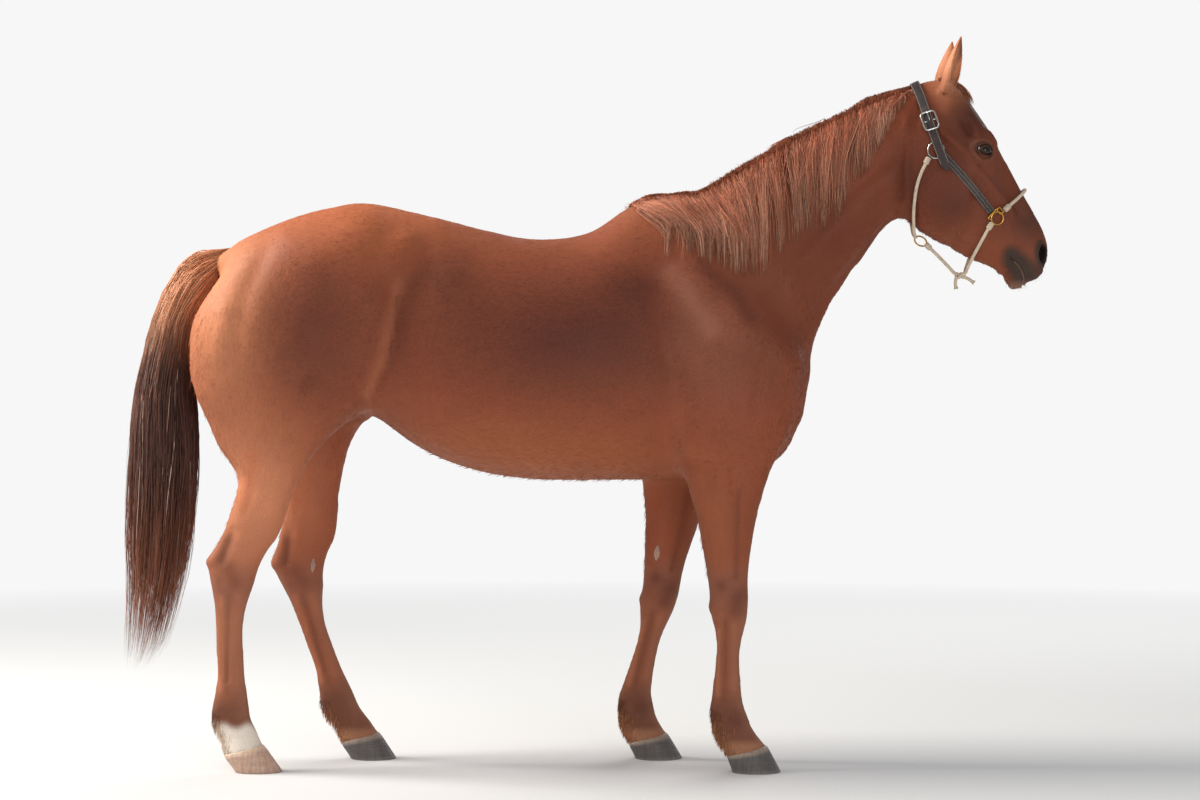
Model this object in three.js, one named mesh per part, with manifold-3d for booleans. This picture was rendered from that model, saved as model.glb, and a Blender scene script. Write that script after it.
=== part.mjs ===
// A standing stock horse with a leather and rope halter, life size, as a still museum model.
// Millimetres. +X points where the horse faces, +Y to its left side, +Z up. The four soles stand on z = 0.
import * as THREE from "three";
import { mergeVertices } from "three/addons/utils/BufferGeometryUtils.js";
import Module from "manifold-3d";

// Driving dimensions
const WITHERS = 1545; // height at the withers, 15.2 hands
const CROUP = 1517; // highest point of the croup
const BARREL = 303; // half the width of the barrel
const BRISKET = 768; // height of the belly and breastbone over the floor
const FORE_STANCE = 140; // from the middle plane to a foreleg
const HIND_STANCE = 136; // from the middle plane to a hind leg
const EYE_RADIUS = 21.5;
const EYE = [1066, 81, 1655]; // the left eye's centre; the right eye mirrors it
const GAP = 0.3; // between neighbouring pieces

// The halter's sizes
const ROPE = 9; // diameter of the rope
const WRAP = { length: 17, diameter: 15.3 }; // whipping round a rope's end
const METAL = 4.5; // thickness of the rings, buckles and square fittings
const CROWN_STRAP = { width: 27, thickness: 3.5 };
const CHEEK_STRAP = { width: 20, thickness: 3.2 };
const SIDE_RING_RADIUS = 22;
const THROAT_RING_RADIUS = 17.5;
const BUCKLE_FRAME = { length: 54, width: 43, bar: 5 };
const SQUARE = { side: 43, eye: 14.5 };
const KNOT_RADII = [15, 11, 8];

// How finely the lofts are faceted: distance between rings, points round each ring
const BODY_FACETS = { trunk: [110, 22], neck: [75, 18], head: [60, 18], leg: [90, 12], tail: [120, 10] };

const wasm = await Module();
wasm.setup();

// ---------- curves, lofts and solids ----------

// A smooth curve through rows of numbers, as a function of the distance along the curve's key columns.
function through(rows, keys) {
  const at = [0];
  for (let i = 1; i < rows.length; i++) {
    const step = Math.hypot(...keys.map((k) => rows[i][k] - rows[i - 1][k]));
    at.push(at[i - 1] + step);
  }
  const last = rows.length - 1;
  const slope = (i, c) => {
    const before = i > 0 ? (rows[i][c] - rows[i - 1][c]) / (at[i] - at[i - 1]) : null;
    const after = i < last ? (rows[i + 1][c] - rows[i][c]) / (at[i + 1] - at[i]) : null;
    if (before === null) return after;
    if (after === null) return before;
    const [h0, h1] = [at[i] - at[i - 1], at[i + 1] - at[i]];
    return (before * h1 + after * h0) / (h0 + h1);
  };
  const value = (i, f) => {
    const h = at[i + 1] - at[i];
    return rows[i].map((_, c) => {
      const [p, q] = [rows[i][c], rows[i + 1][c]];
      const [m, n] = [slope(i, c) * h, slope(i + 1, c) * h];
      return (2 * f ** 3 - 3 * f ** 2 + 1) * p + (f ** 3 - 2 * f ** 2 + f) * m
        + (3 * f ** 2 - 2 * f ** 3) * q + (f ** 3 - f ** 2) * n;
    });
  };
  return { value, lengths: at.slice(1).map((a, i) => a - at[i]) };
}

// One ring: a superelliptic section between an edge point a and the opposite edge point b of the
// side outline, with the widest place at the fraction "at" of the way from a to b.
function section([ax, az, bx, bz, y, half, at, na, nb], count) {
  const ring = [];
  for (let i = 0; i < count; i++) {
    const angle = (2 * Math.PI * i) / count;
    const [c, s] = [Math.cos(angle), Math.sin(angle)];
    const power = 2 / (c > 0 ? na : nb);
    const reach = Math.abs(c) ** power;
    const along = c > 0 ? at * (1 - reach) : at + (1 - at) * reach;
    const out = y + half * Math.sign(s) * Math.abs(s) ** power;
    ring.push(new THREE.Vector3(ax + (bx - ax) * along, out, az + (bz - az) * along));
  }
  return ring;
}

// A closed mesh through rings of the same count, with a fan over each end.
function skinOver(rings) {
  const count = rings[0].length;
  const points = rings.flat();
  const ends = [rings[0], rings[rings.length - 1]].map((ring) =>
    ring.reduce((sum, p) => sum.add(p), new THREE.Vector3()).divideScalar(count));
  const faces = [];
  for (let r = 0; r + 1 < rings.length; r++) {
    for (let i = 0; i < count; i++) {
      const [a, b] = [r * count + i, r * count + ((i + 1) % count)];
      faces.push(a, b, b + count, a, b + count, a + count);
    }
  }
  const [first, second] = [points.length, points.length + 1];
  const top = (rings.length - 1) * count;
  for (let i = 0; i < count; i++) {
    const j = (i + 1) % count;
    faces.push(first, j, i, second, top + i, top + j);
  }
  const geometry = new THREE.BufferGeometry().setFromPoints([...points, ...ends]);
  return geometry.setIndex(faces);
}

// A loft through outline rows [ax, az, bx, bz, y, half, at, na, nb], with rings about "step" apart.
function loft(rows, [step, count]) {
  const curve = through(rows, [0, 1, 2, 3]);
  const rings = [];
  curve.lengths.forEach((length, i) => {
    const parts = Math.max(1, Math.round(length / step / Math.SQRT2));
    for (let k = 0; k < parts; k++) rings.push(section(curve.value(i, k / parts), count));
  });
  rings.push(section(curve.value(rows.length - 2, 1), count));
  return solid(skinOver(rings));
}

// A manifold-3d solid from a closed three.js geometry.
function solid(geometry) {
  const bare = new THREE.BufferGeometry();
  bare.setAttribute("position", geometry.getAttribute("position"));
  if (geometry.index) bare.setIndex(geometry.index);
  const merged = mergeVertices(bare, 1e-3);
  const build = (triVerts) => new wasm.Manifold(new wasm.Mesh({
    numProp: 3,
    vertProperties: merged.attributes.position.array,
    triVerts,
  }));
  const faces = new Uint32Array(merged.index.array);
  const made = build(faces);
  return made.volume() > 0 ? made : build(faces.reverse());
}

// The solid without what lies inside another one, a gap away from it in each direction given.
function clearOf(body, other, ways) {
  const grown = ways.map((way) => other.translate(way.map((w) => w * 1.5 * GAP)));
  return main(grown.reduce((left, moved) => left.subtract(moved), body));
}

// The largest separate body of a solid.
function main(body) {
  return body.decompose().sort((a, b) => b.volume() - a.volume())[0];
}

// Both sides of a cut through the point [x, z], across the direction [dx, dz], a gap apart.
function cut(body, [x, z], [dx, dz]) {
  const size = Math.hypot(dx, dz);
  const normal = [dx / size, 0, dz / size];
  const offset = normal[0] * x + normal[2] * z;
  return [
    body.trimByPlane(normal, offset + GAP / 2),
    body.trimByPlane(normal.map((n) => -n), -offset + GAP / 2),
  ];
}

const group = new THREE.Group();

// A solid's surface as a three.js geometry.
function surfaceOf(body) {
  const { numVert, numProp, vertProperties, triVerts } = body.getMesh();
  const points = [];
  for (let i = 0; i < numVert * numProp; i += numProp) {
    points.push(new THREE.Vector3(...vertProperties.slice(i, i + 3)));
  }
  return new THREE.BufferGeometry().setFromPoints(points).setIndex([...triVerts]);
}

// Adds a solid to the model as a named mesh.
function add(name, body, [color, roughness, metalness = 0]) {
  const material = new THREE.MeshStandardMaterial({ color, roughness, metalness });
  const made = new THREE.Mesh(surfaceOf(body), material);
  made.name = name;
  group.add(made);
}

const COAT = [0x9a5234, 0.55];
const HAIR = [0xa5684f, 0.6];
const TAIL_HAIR = [0x4a332c, 0.65];
const DARK_HOOF = [0x5c5654, 0.45];
const PALE_HOOF = [0xbf9a82, 0.45];
const EYE_COLOUR = [0x17100d, 0.1];
const LEATHER = [0x3a2b27, 0.6];
const CORD = [0xdfcaac, 0.85];
const BRASS = [0xc79a4b, 0.3, 1];
const SILVER = [0xc9cdcc, 0.25, 1];

// ---------- body ----------

// Rows of the trunk: top [x, z], bottom [x, z], middle y, half width, widest place, roundness over and under.
function trunk() {
  const rows = [
    [-985, 1372, -985, 1240, 0, 62, 0.5, 2, 2],
    [-955, 1406, -955, 1130, 0, 142, 0.45, 2.1, 2],
    [-890, 1441, -880, 1010, 0, 212, 0.45, 2.2, 2],
    [-790, 1482, -780, 975, 0, 262, 0.48, 2.2, 2],
    [-680, 1511, -680, 945, 0, 277, 0.5, 2.2, 2],
    [-580, CROUP, -580, 944, 0, 278, 0.5, 2.3, 2.1],
    [-480, 1498, -490, 880, 0, 270, 0.52, 2.1, 2.1],
    [-380, 1475, -385, 824, 0, 283, 0.56, 2.1, 2.1],
    [-250, 1441, -250, 784, 0, 297, 0.56, 2.1, 2.1],
    [-95, 1424, -95, BRISKET, 0, BARREL, 0.55, 2.1, 2.1],
    [20, 1446, 20, BRISKET, 0, 295, 0.54, 2, 2.1],
    [105, 1505, 110, BRISKET, 0, 276, 0.55, 1.75, 2.1],
    [190, WITHERS, 200, BRISKET, 0, 251, 0.56, 1.65, 2.1],
    [290, 1520, 300, 770, 0, 232, 0.55, 1.8, 2.1],
    [395, 1430, 400, 778, 0, 216, 0.55, 2, 2.1],
    [485, 1290, 485, 800, 0, 202, 0.5, 2.1, 2],
    [552, 1170, 555, 858, 0, 170, 0.45, 2.2, 2],
    [587, 1088, 582, 962, 0, 95, 0.45, 2, 2],
  ];
  return loft(rows, BODY_FACETS.trunk);
}

// Rows of the neck, from inside the withers and breast to behind the ears.
function neck() {
  const rows = [
    [150, 1500, 500, 900, 0, 150, 0.6, 2, 2],
    [215, 1540, 580, 985, 0, 178, 0.62, 1.7, 2.2],
    [320, 1556, 606, 1072, 0, 158, 0.62, 1.6, 2.2],
    [420, 1603, 640, 1182, 0, 124, 0.6, 1.6, 2.2],
    [520, 1661, 684, 1260, 0, 104, 0.58, 1.7, 2.1],
    [620, 1715, 728, 1330, 0, 90, 0.55, 1.8, 2.1],
    [715, 1758, 771, 1398, 0, 81, 0.52, 1.9, 2.1],
    [805, 1800, 812, 1452, 0, 74, 0.5, 2, 2.1],
    [880, 1830, 850, 1474, 0, 72, 0.48, 2, 2.1],
    [930, 1840, 905, 1480, 0, 55, 0.5, 2, 2],
  ];
  return loft(rows, BODY_FACETS.neck);
}

// Rows of the head, from the poll to the lips: the profile of the face and the line of the jaw.
function head() {
  const rows = [
    [868, 1826, 838, 1560, 0, 48, 0.4, 2, 2],
    [905, 1846, 848, 1500, 0, 62, 0.4, 2, 2],
    [955, 1854, 868, 1466, 0, 72, 0.38, 2.2, 2.1],
    [1006, 1830, 905, 1443, 0, 82, 0.36, 2.5, 2.2],
    [1050, 1769, 945, 1419, 0, 94, 0.3, 2.6, 2.1],
    [1086, 1716, 985, 1397, 0, 98, 0.28, 2.6, 2.1],
    [1116, 1668, 1018, 1380, 0, 88, 0.32, 2.4, 2.1],
    [1146, 1612, 1050, 1364, 0, 73, 0.4, 2.3, 2.2],
    [1177, 1556, 1080, 1353, 0, 60, 0.45, 2.3, 2.2],
    [1209, 1501, 1103, 1342, 0, 51, 0.45, 2.3, 2.2],
    [1236, 1452, 1107, 1322, 0, 49, 0.45, 2.4, 2.1],
    [1251, 1402, 1117, 1301, 0, 52, 0.42, 2.6, 2.1],
    [1249, 1362, 1132, 1288, 0, 50, 0.4, 2.4, 2.1],
    [1238, 1330, 1156, 1283, 0, 40, 0.4, 2.2, 2],
    [1222, 1309, 1180, 1292, 0, 22, 0.45, 2, 2],
  ];
  return loft(rows, BODY_FACETS.head);
}

// ---------- limbs ----------

// A limb's rows. Joints are [x, y, z] down its middle. An anatomy row is [level, front, back, half width,
// roundness], where the level counts joints from the top and the offsets are from the middle line.
function limb(joints, anatomy, rearDrop) {
  return anatomy.map(([level, front, back, half, round]) => {
    const i = Math.max(0, Math.min(Math.floor(level), joints.length - 2));
    const f = level - i;
    const [x, y, z] = joints[i].map((p, c) => p + (joints[i + 1][c] - p) * f);
    const drop = rearDrop(level);
    return [x + front, z + drop, x - back, z - drop, y, half, front / (front + back), round, round];
  });
}

// Levels of a foreleg: 0 shoulder, 1 elbow, 2 knee, 3 fetlock, 4 coronet, 5 sole.
const FORE_ANATOMY = [
  [-0.25, 70, 50, 30, 2],
  [-0.12, 125, 85, 62, 2],
  [0.05, 165, 100, 82, 2.1],
  [0.25, 193, 106, 93, 2.1],
  [0.5, 186, 116, 95, 2.1],
  [0.75, 166, 124, 86, 2.1],
  [1, 128, 118, 70, 2.2],
  [1.13, 110, 106, 63, 2.2],
  [1.32, 88, 86, 57, 2.2],
  [1.52, 73, 74, 52, 2.2],
  [1.76, 59, 61, 44, 2.2],
  [1.94, 55, 54, 43, 2.5],
  [2.03, 55, 54, 43, 2.5],
  [2.15, 52, 49, 38, 2.4],
  [2.27, 44, 40, 31, 2.2],
  [2.41, 35, 37, 27, 2.2],
  [2.66, 34, 43, 26, 2.2],
  [2.86, 38, 50, 31, 2.2],
  [2.97, 43, 53, 35, 2.2],
  [3.17, 46, 58, 35, 2.2],
  [3.43, 42, 66, 31, 2.2],
  [3.69, 46, 66, 34, 2.2],
  [4, 55, 55, 49, 2.1],
  [4.15, 58, 55, 52, 2.1],
  [5, 72, 60, 60, 2.1],
];

// Levels of a hind leg: 0 hip, 1 thigh, 2 stifle, 3 gaskin, 4 hock, 5 fetlock, 6 coronet, 7 sole.
const HIND_ANATOMY = [
  [-0.35, 90, 110, 50, 2],
  [0, 205, 195, 82, 2.1],
  [0.3, 262, 240, 113, 2.2],
  [0.565, 278, 264, 126, 2.2],
  [1, 268, 268, 128, 2.2],
  [1.54, 242, 241, 112, 2.2],
  [2, 192, 192, 90, 2.2],
  [2.51, 124, 147, 70, 2.2],
  [3, 86, 88, 57, 2.2],
  [3.24, 84, 77, 52, 2.1],
  [3.42, 89, 75, 48, 2.1],
  [3.68, 88, 76, 44, 2.1],
  [3.81, 75, 81, 44, 2.2],
  [3.91, 70, 88, 44, 2.2],
  [4.02, 65, 75, 44, 2.3],
  [4.12, 55, 67, 42, 2.3],
  [4.24, 40, 58, 34, 2.2],
  [4.35, 31, 54, 28, 2.2],
  [4.6, 32, 48, 25, 2.2],
  [4.79, 39, 45, 27, 2.2],
  [4.88, 45, 50, 32, 2.2],
  [4.97, 50, 54, 35, 2.2],
  [5.22, 48, 60, 34, 2.2],
  [5.41, 52, 58, 31, 2.2],
  [5.64, 54, 50, 33, 2.2],
  [6, 55, 52, 47, 2.1],
  [6.15, 58, 52, 50, 2.1],
  [7, 70, 56, 56, 2.1],
];

const FORE_RIGHT = [
  [400, -FORE_STANCE, 1180],
  [372, -FORE_STANCE - 4, 800],
  [382, -FORE_STANCE, 450],
  [383, -FORE_STANCE, 165],
  [431, -FORE_STANCE, 54],
  [449, -FORE_STANCE, 0],
];
const FORE_LEFT = [
  [385, FORE_STANCE, 1180],
  [265, FORE_STANCE + 4, 800],
  [204, FORE_STANCE, 450],
  [140, FORE_STANCE, 165],
  [172, FORE_STANCE, 54],
  [195, FORE_STANCE, 0],
];
const HIND_RIGHT = [
  [-772, -HIND_STANCE - 14, 1330],
  [-780, -HIND_STANCE - 14, 1100],
  [-816, -HIND_STANCE - 4, 932],
  [-838, -HIND_STANCE, 778],
  [-930, -HIND_STANCE, 545],
  [-940, -HIND_STANCE, 160],
  [-908, -HIND_STANCE, 56],
  [-874, -HIND_STANCE, 0],
];
const HIND_LEFT = [
  [-768, HIND_STANCE + 14, 1330],
  [-765, HIND_STANCE + 14, 1100],
  [-790, HIND_STANCE + 4, 932],
  [-748, HIND_STANCE, 778],
  [-785, HIND_STANCE, 520],
  [-677, HIND_STANCE, 160],
  [-620, HIND_STANCE, 56],
  [-590, HIND_STANCE, 0],
];

// The coronet slopes down to the heel: half its drop, faded out above the pastern and at the sole.
const HEEL_DROP = 13;
const CORONET_LENGTH = 110;
function dropAt(coronet) {
  return (level) => {
    const away = Math.abs(level - coronet);
    return HEEL_DROP * Math.max(0, 1 - away / (level > coronet ? 1 : 0.9));
  };
}

// A leg's hoof, pastern, shank and upper piece, cut apart at the coronet and at heights given.
function legPieces(name, leg, joints, heights, hoofColour) {
  const [cx, , cz] = joints[joints.length - 2];
  const slope = (HEEL_DROP * 2) / CORONET_LENGTH;
  const [above, hoof] = cut(leg, [cx, cz], [-slope, 1]);
  add(`${name}_hoof`, hoof, hoofColour);
  const names = ["pastern", "cannon", "upper"];
  let rest = above;
  heights.forEach((z, i) => {
    const [higher, lower] = cut(rest, [0, z], [0, 1]);
    add(`${name}_${names[i]}`, lower, COAT);
    rest = higher;
  });
  add(`${name}_${names[heights.length]}`, rest, COAT);
}

// ---------- ears, eyes and hair ----------

// A pricked ear: rows of [height, half width, depth of the back, depth of the hollow], turned to open
// forwards and outwards.
const EAR_ROWS = [
  [-16, 20, 20, 2],
  [10, 25, 24, 4],
  [38, 30, 27, 13],
  [68, 28, 24, 13],
  [98, 21, 18, 10],
  [124, 11, 11, 5],
  [141, 3, 4, 1],
];

const EAR_SET = 12; // the ear's widest line lies this far ahead of its axis
const EAR_BACK = [-90, -60, -30, 0, 30, 60, 90]; // degrees round the back, then across the hollow
const EAR_HOLLOW = [70, 35, 0, -35, -70];

function ear(base, tip, turn) {
  const up = tip.clone().sub(base).normalize();
  const ahead = new THREE.Vector3(Math.cos(turn), Math.sin(turn), 0);
  const side = new THREE.Vector3().crossVectors(up, ahead).normalize();
  ahead.crossVectors(side, up);
  const rings = EAR_ROWS.map(([height, half, back, hollow]) => {
    const at = (angle, depth) => base.clone()
      .addScaledVector(up, height)
      .addScaledVector(side, half * Math.sin(angle))
      .addScaledVector(ahead, EAR_SET - depth * Math.cos(angle));
    const outer = EAR_BACK.map((a) => at((a * Math.PI) / 180, back));
    const inner = EAR_HOLLOW.map((a) => at((a * Math.PI) / 180, hollow));
    return [...outer, ...inner];
  });
  return solid(skinOver(rings));
}

function ellipsoid(centre, radii, around, down) {
  const geometry = new THREE.SphereGeometry(1, around, down);
  geometry.scale(...radii);
  geometry.translate(...centre);
  return solid(geometry);
}

// The hanging tail, from the dock in the cleft of the rump to the thin ends.
function tail() {
  const rows = [
    [-948, 1421, -962, 1345, 0, 24, 0.5, 2, 2],
    [-990, 1415, -985, 1325, 0, 34, 0.5, 2, 2],
    [-1041, 1399, -1015, 1300, 0, 39, 0.5, 2, 2],
    [-1096, 1357, -1040, 1270, 0, 43, 0.5, 2, 2],
    [-1138, 1290, -1052, 1232, 0, 48, 0.5, 2, 2],
    [-1168, 1212, -1062, 1182, 0, 54, 0.5, 2, 2],
    [-1191, 1130, -1066, 1108, 0, 59, 0.5, 2, 2],
    [-1213, 1030, -1058, 1020, 0, 64, 0.5, 2, 2],
    [-1232, 915, -1044, 910, 0, 67, 0.5, 2, 2],
    [-1243, 770, -1044, 765, 0, 66, 0.5, 2, 2],
    [-1246, 620, -1054, 620, 0, 60, 0.5, 2, 2],
    [-1247, 500, -1075, 500, 0, 50, 0.5, 2, 2],
    [-1250, 390, -1105, 390, 0, 36, 0.5, 2, 2],
    [-1251, 305, -1133, 305, 0, 24, 0.5, 2, 2],
    [-1246, 252, -1185, 252, 0, 9, 0.5, 2, 2],
  ];
  return loft(rows, BODY_FACETS.tail);
}

// How far the flesh reaches to the right at the side-view place [x, z].
function sideReach(surface, x, z) {
  const ray = new THREE.Raycaster(new THREE.Vector3(x, -1000, z), new THREE.Vector3(0, 1, 0));
  const hit = ray.intersectObject(surface)[0];
  return hit ? -hit.point.y : 0;
}

// A sheet of hair lying over the right side of the flesh. Each station is [x, top, tip]: the hair
// rises over the crest there and thins from the root to the tip.
const MANE_LIFT = 14;
const MANE_THICKNESS = 17;
const MANE_FRACTIONS = [0.04, 0.2, 0.45, 0.72, 1]; // from the root to the tip
const MANE_SUNK = 8; // the hair's inner face lies this deep in the flesh
const CREST = [16, 2]; // the ridge's two edges, to the left of the middle plane

function hangingHair(surface, stations) {
  const rings = stations.map(([x, top, tip]) => {
    const root = top - MANE_LIFT;
    const heights = MANE_FRACTIONS.map((f) => root + (tip - top) * f);
    const outer = heights.map((z, i) => {
      const reach = sideReach(surface, x, z) + MANE_THICKNESS * (1 - 0.7 * MANE_FRACTIONS[i]);
      return new THREE.Vector3(x, -reach, z);
    });
    const inner = heights.map((z) => {
      const reach = Math.max(sideReach(surface, x, z) - MANE_SUNK, -MANE_LIFT);
      return new THREE.Vector3(x, -reach, z);
    });
    const ridge = [new THREE.Vector3(x, CREST[0], root), new THREE.Vector3(x, CREST[1], top)];
    return [...ridge, ...outer, ...inner.reverse()];
  });
  return solid(skinOver(rings));
}

const MANE = [
  [66, 1492, 1462],
  [110, 1519, 1432],
  [165, 1548, 1385],
  [213, 1552, 1322],
  [306, 1561, 1352],
  [415, 1628, 1303],
  [479, 1664, 1300],
  [535, 1697, 1392],
  [623, 1741, 1432],
  [674, 1764, 1436],
  [706, 1780, 1545],
  [759, 1812, 1590],
  [805, 1824, 1690],
  [850, 1833, 1765],
  [872, 1838, 1800],
];

// ---------- halter ----------

const POINT = 0.35; // the share of a strap's width left at its pointed tip

// A flat strap through points on the head, its inner face towards the line [x, z] of the head's middle.
function band(points, [cx, cz], { width, thickness }, pointed) {
  const curve = new THREE.CatmullRomCurve3(points.map((p) => new THREE.Vector3(...p)));
  const steps = points.length;
  const rings = [];
  for (let i = 0; i <= steps; i++) {
    const p = curve.getPoint(i / steps);
    const ahead = curve.getTangent(i / steps);
    const out = new THREE.Vector3(p.x - cx, p.y, p.z - cz);
    const across = new THREE.Vector3().crossVectors(out, ahead).normalize();
    out.crossVectors(ahead, across).normalize();
    const taper = pointed && (i === 0 || i === steps) ? POINT : 1;
    const corner = (u, v) => p.clone()
      .addScaledVector(across, (u * width * taper) / 2)
      .addScaledVector(out, (v * thickness) / 2);
    rings.push([corner(-1, -1), corner(1, -1), corner(1, 1), corner(-1, 1)]);
  }
  return solid(skinOver(rings));
}

// Part of a round cord along a curve through points, from one fraction of its length to another.
function cord(points, diameter, from = 0, to = 1) {
  const route = new THREE.CatmullRomCurve3(points.map((p) => new THREE.Vector3(...p)));
  const steps = Math.max(1, Math.round((route.getLength() * (to - from)) / (3 * ROPE)));
  const spaced = [];
  for (let i = 0; i <= steps; i++) spaced.push(route.getPointAt(from + ((to - from) * i) / steps));
  const section = new THREE.Shape().absarc(0, 0, diameter / 2, 0, 2 * Math.PI);
  return solid(new THREE.ExtrudeGeometry(section, {
    steps,
    curveSegments: 4, // three.js doubles this for a circle, so the cord has 8 sides
    bevelEnabled: false,
    extrudePath: new THREE.CatmullRomCurve3(spaced),
  }));
}

// A rope whose ends are whipped over a given length: the rope itself and its wrapped ends.
function rope(name, points, wrapStart, wrapEnd) {
  const length = new THREE.CatmullRomCurve3(points.map((p) => new THREE.Vector3(...p))).getLength();
  const [wrap, gap] = [WRAP.length / length, (4 * GAP) / length];
  add(name, cord(points, ROPE, wrapStart ? wrap + gap : 0, wrapEnd ? 1 - wrap - gap : 1), CORD);
  if (wrapStart) add(`${name}_wrap_a`, cord(points, WRAP.diameter, 0, wrap), CORD);
  if (wrapEnd) add(`${name}_wrap_b`, cord(points, WRAP.diameter, 1 - wrap, 1), CORD);
}

// Hardware made flat in its own XY plane, then laid at a place with its Z axis along the normal and
// its X axis along the given direction.
function laid(geometry, place, normal, along) {
  const z = new THREE.Vector3(...normal).normalize();
  const y = new THREE.Vector3().crossVectors(z, new THREE.Vector3(...along)).normalize();
  const x = new THREE.Vector3().crossVectors(y, z);
  const basis = new THREE.Matrix4().makeBasis(x, y, z).setPosition(...place);
  return solid(geometry.applyMatrix4(basis));
}

function ringOf(radius) {
  return new THREE.TorusGeometry(radius, METAL / 2, 6, 14);
}

const rectangle = (l, w) => [[l, w], [-l, w], [-l, -w], [l, -w]]
  .map(([u, v]) => new THREE.Vector2(u / 2, v / 2));

function plate(shape) {
  const options = { depth: METAL, bevelEnabled: false, curveSegments: 8 };
  return new THREE.ExtrudeGeometry(shape, options).translate(0, 0, -METAL / 2);
}

// A buckle's rectangular frame.
function frameOf({ length, width, bar }) {
  const shape = new THREE.Shape(rectangle(length, width));
  shape.holes.push(new THREE.Path(rectangle(length - 2 * bar, width - 2 * bar)));
  return plate(shape);
}

// A square fitting with a round eye.
function squareOf({ side, eye }) {
  const shape = new THREE.Shape(rectangle(side, side));
  shape.holes.push(new THREE.Path().absarc(0, 0, eye, 0, 2 * Math.PI));
  return plate(shape);
}

// The right half of the halter's lines; the left half mirrors them in y.
const HEAD_LINE = [1000, 1600];
const CROWN = [
  [968, -92.5, 1600],
  [958, -93.5, 1626],
  [948, -92, 1652],
  [938, -88.5, 1680],
  [929, -82, 1708],
  [921, -74, 1735],
  [913, -67.5, 1759],
  [905, -58.5, 1785],
  [897, -45, 1811],
  [890, -26, 1832],
];
const CROWN_TOP = [888, 0, 1843];
const CHEEK = [
  [962, -86, 1638],
  [985, -90.8, 1612],
  [1010, -95.6, 1583],
  [1035, -97.6, 1553],
  [1060, -90.6, 1523],
  [1084, -79.5, 1494],
];
const SILVER_RING = [938, -81.5, 1656];
const BUCKLE = [921.3, -83, 1735];
const NOSE_SQUARE = [1103, -75, 1474];
const THROAT_RING = [906, 0, 1416];
const NOSE_ROPE = [
  [1122, -76, 1495],
  [1136, -73, 1508],
  [1154, -64, 1523],
  [1171, -48, 1538],
  [1183, -26, 1550],
];
const NOSE_TOP = [1187, 0, 1554];
const CHIN_ROPE = [
  [1086, -78.5, 1457],
  [1078, -75.5, 1444],
  [1067, -69, 1423],
  [1057, -59, 1403],
  [1047, -46, 1382],
  [1038, -31, 1361],
  [1030, -17, 1342],
  [1026, -8, 1330],
];
const THROAT_ROPE = [
  [919, -81, 1637],
  [911, -78, 1620],
  [899, -73, 1594],
  [890, -67, 1565],
  [885, -59, 1535],
  [883, -50, 1506],
  [883, -38, 1478],
  [885, -24, 1453],
  [888, -11, 1434],
];
const JAW_ROPE = [
  [925, 0, 1403],
  [945, 0, 1384],
  [965, 0, 1364],
  [983, 0, 1345],
  [996, 0, 1331],
];
const CHIN_KNOT = [1013, 0, 1323];
const LOOSE_ENDS = [
  [[1003, 0, 1320], [1000, -2, 1302], [1002, -4, 1287]],
  [[1022, 0, 1320], [1036, -5, 1313], [1050, -8, 1303]],
];

const leftOf = (points) => points.map(([x, y, z]) => [x, -y, z]);

function halter() {
  const crown = [...CROWN, CROWN_TOP, ...leftOf(CROWN).reverse()];
  add("halter_crown_strap", band(crown, HEAD_LINE, CROWN_STRAP, true), LEATHER);
  for (const [side, way] of [["right", 1], ["left", -1]]) {
    const turn = ([x, y, z]) => [x, y * way, z];
    const turned = (points) => points.map(turn);
    add(`halter_cheek_strap_${side}`, band(turned(CHEEK), HEAD_LINE, CHEEK_STRAP, false), LEATHER);
    add(`halter_ring_${side}`,
      laid(ringOf(SIDE_RING_RADIUS), turn(SILVER_RING), turn([-0.214, -0.976, 0.044]), [1, 0, 0]), SILVER);
    add(`halter_buckle_${side}`,
      laid(frameOf(BUCKLE_FRAME), turn(BUCKLE), turn([-0.085, -0.961, 0.265]), [-0.3, 0, 0.95]), SILVER);
    add(`halter_square_${side}`,
      laid(squareOf(SQUARE), turn(NOSE_SQUARE), turn([0.263, -0.957, -0.115]), [0.68, 0, 0.73]), BRASS);
    rope(`halter_chin_rope_${side}`, turned(CHIN_ROPE), true, false);
    rope(`halter_throat_rope_${side}`, turned(THROAT_ROPE), true, false);
  }
  rope("halter_nose_rope", [...NOSE_ROPE, NOSE_TOP, ...leftOf(NOSE_ROPE).reverse()], true, true);
  rope("halter_jaw_rope", JAW_ROPE, true, false);
  add("halter_throat_ring",
    laid(ringOf(THROAT_RING_RADIUS), THROAT_RING, [0.44, 0.6, 0.67], [0.83, 0, -0.55]), BRASS);
  const knot = LOOSE_ENDS.reduce((sum, end) => sum.add(cord(end, ROPE)),
    ellipsoid(CHIN_KNOT, KNOT_RADII, 8, 6));
  add("halter_chin_knot", knot, CORD);
}

// ---------- assembly ----------

const foreleg = (joints) => loft(limb(joints, FORE_ANATOMY, dropAt(4)), BODY_FACETS.leg);
const hindleg = (joints) => loft(limb(joints, HIND_ANATOMY, dropAt(6)), BODY_FACETS.leg);
const foreRight = foreleg(FORE_RIGHT);
const foreLeft = foreleg(FORE_LEFT);
const hindRight = hindleg(HIND_RIGHT);
const hindLeft = hindleg(HIND_LEFT);

const body = [trunk(), neck(), head(), foreRight, foreLeft, hindRight, hindLeft]
  .reduce((sum, part) => sum.add(part));

// A box from one corner to another, grown on every side.
function region(low, high, grow) {
  const size = high.map((h, i) => h - low[i] + 2 * grow);
  const box = new THREE.BoxGeometry(...size);
  return solid(box.translate(...low.map((l, i) => l - grow + size[i] / 2)));
}

// The part of the body in some boxes, and the rest of it a gap away.
function taken(whole, boxes) {
  const grown = (grow) => boxes.map(([low, high]) => region(low, high, grow))
    .reduce((sum, box) => sum.add(box));
  return [whole.intersect(grown(-GAP / 2)), whole.subtract(grown(GAP / 2))];
}

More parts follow.
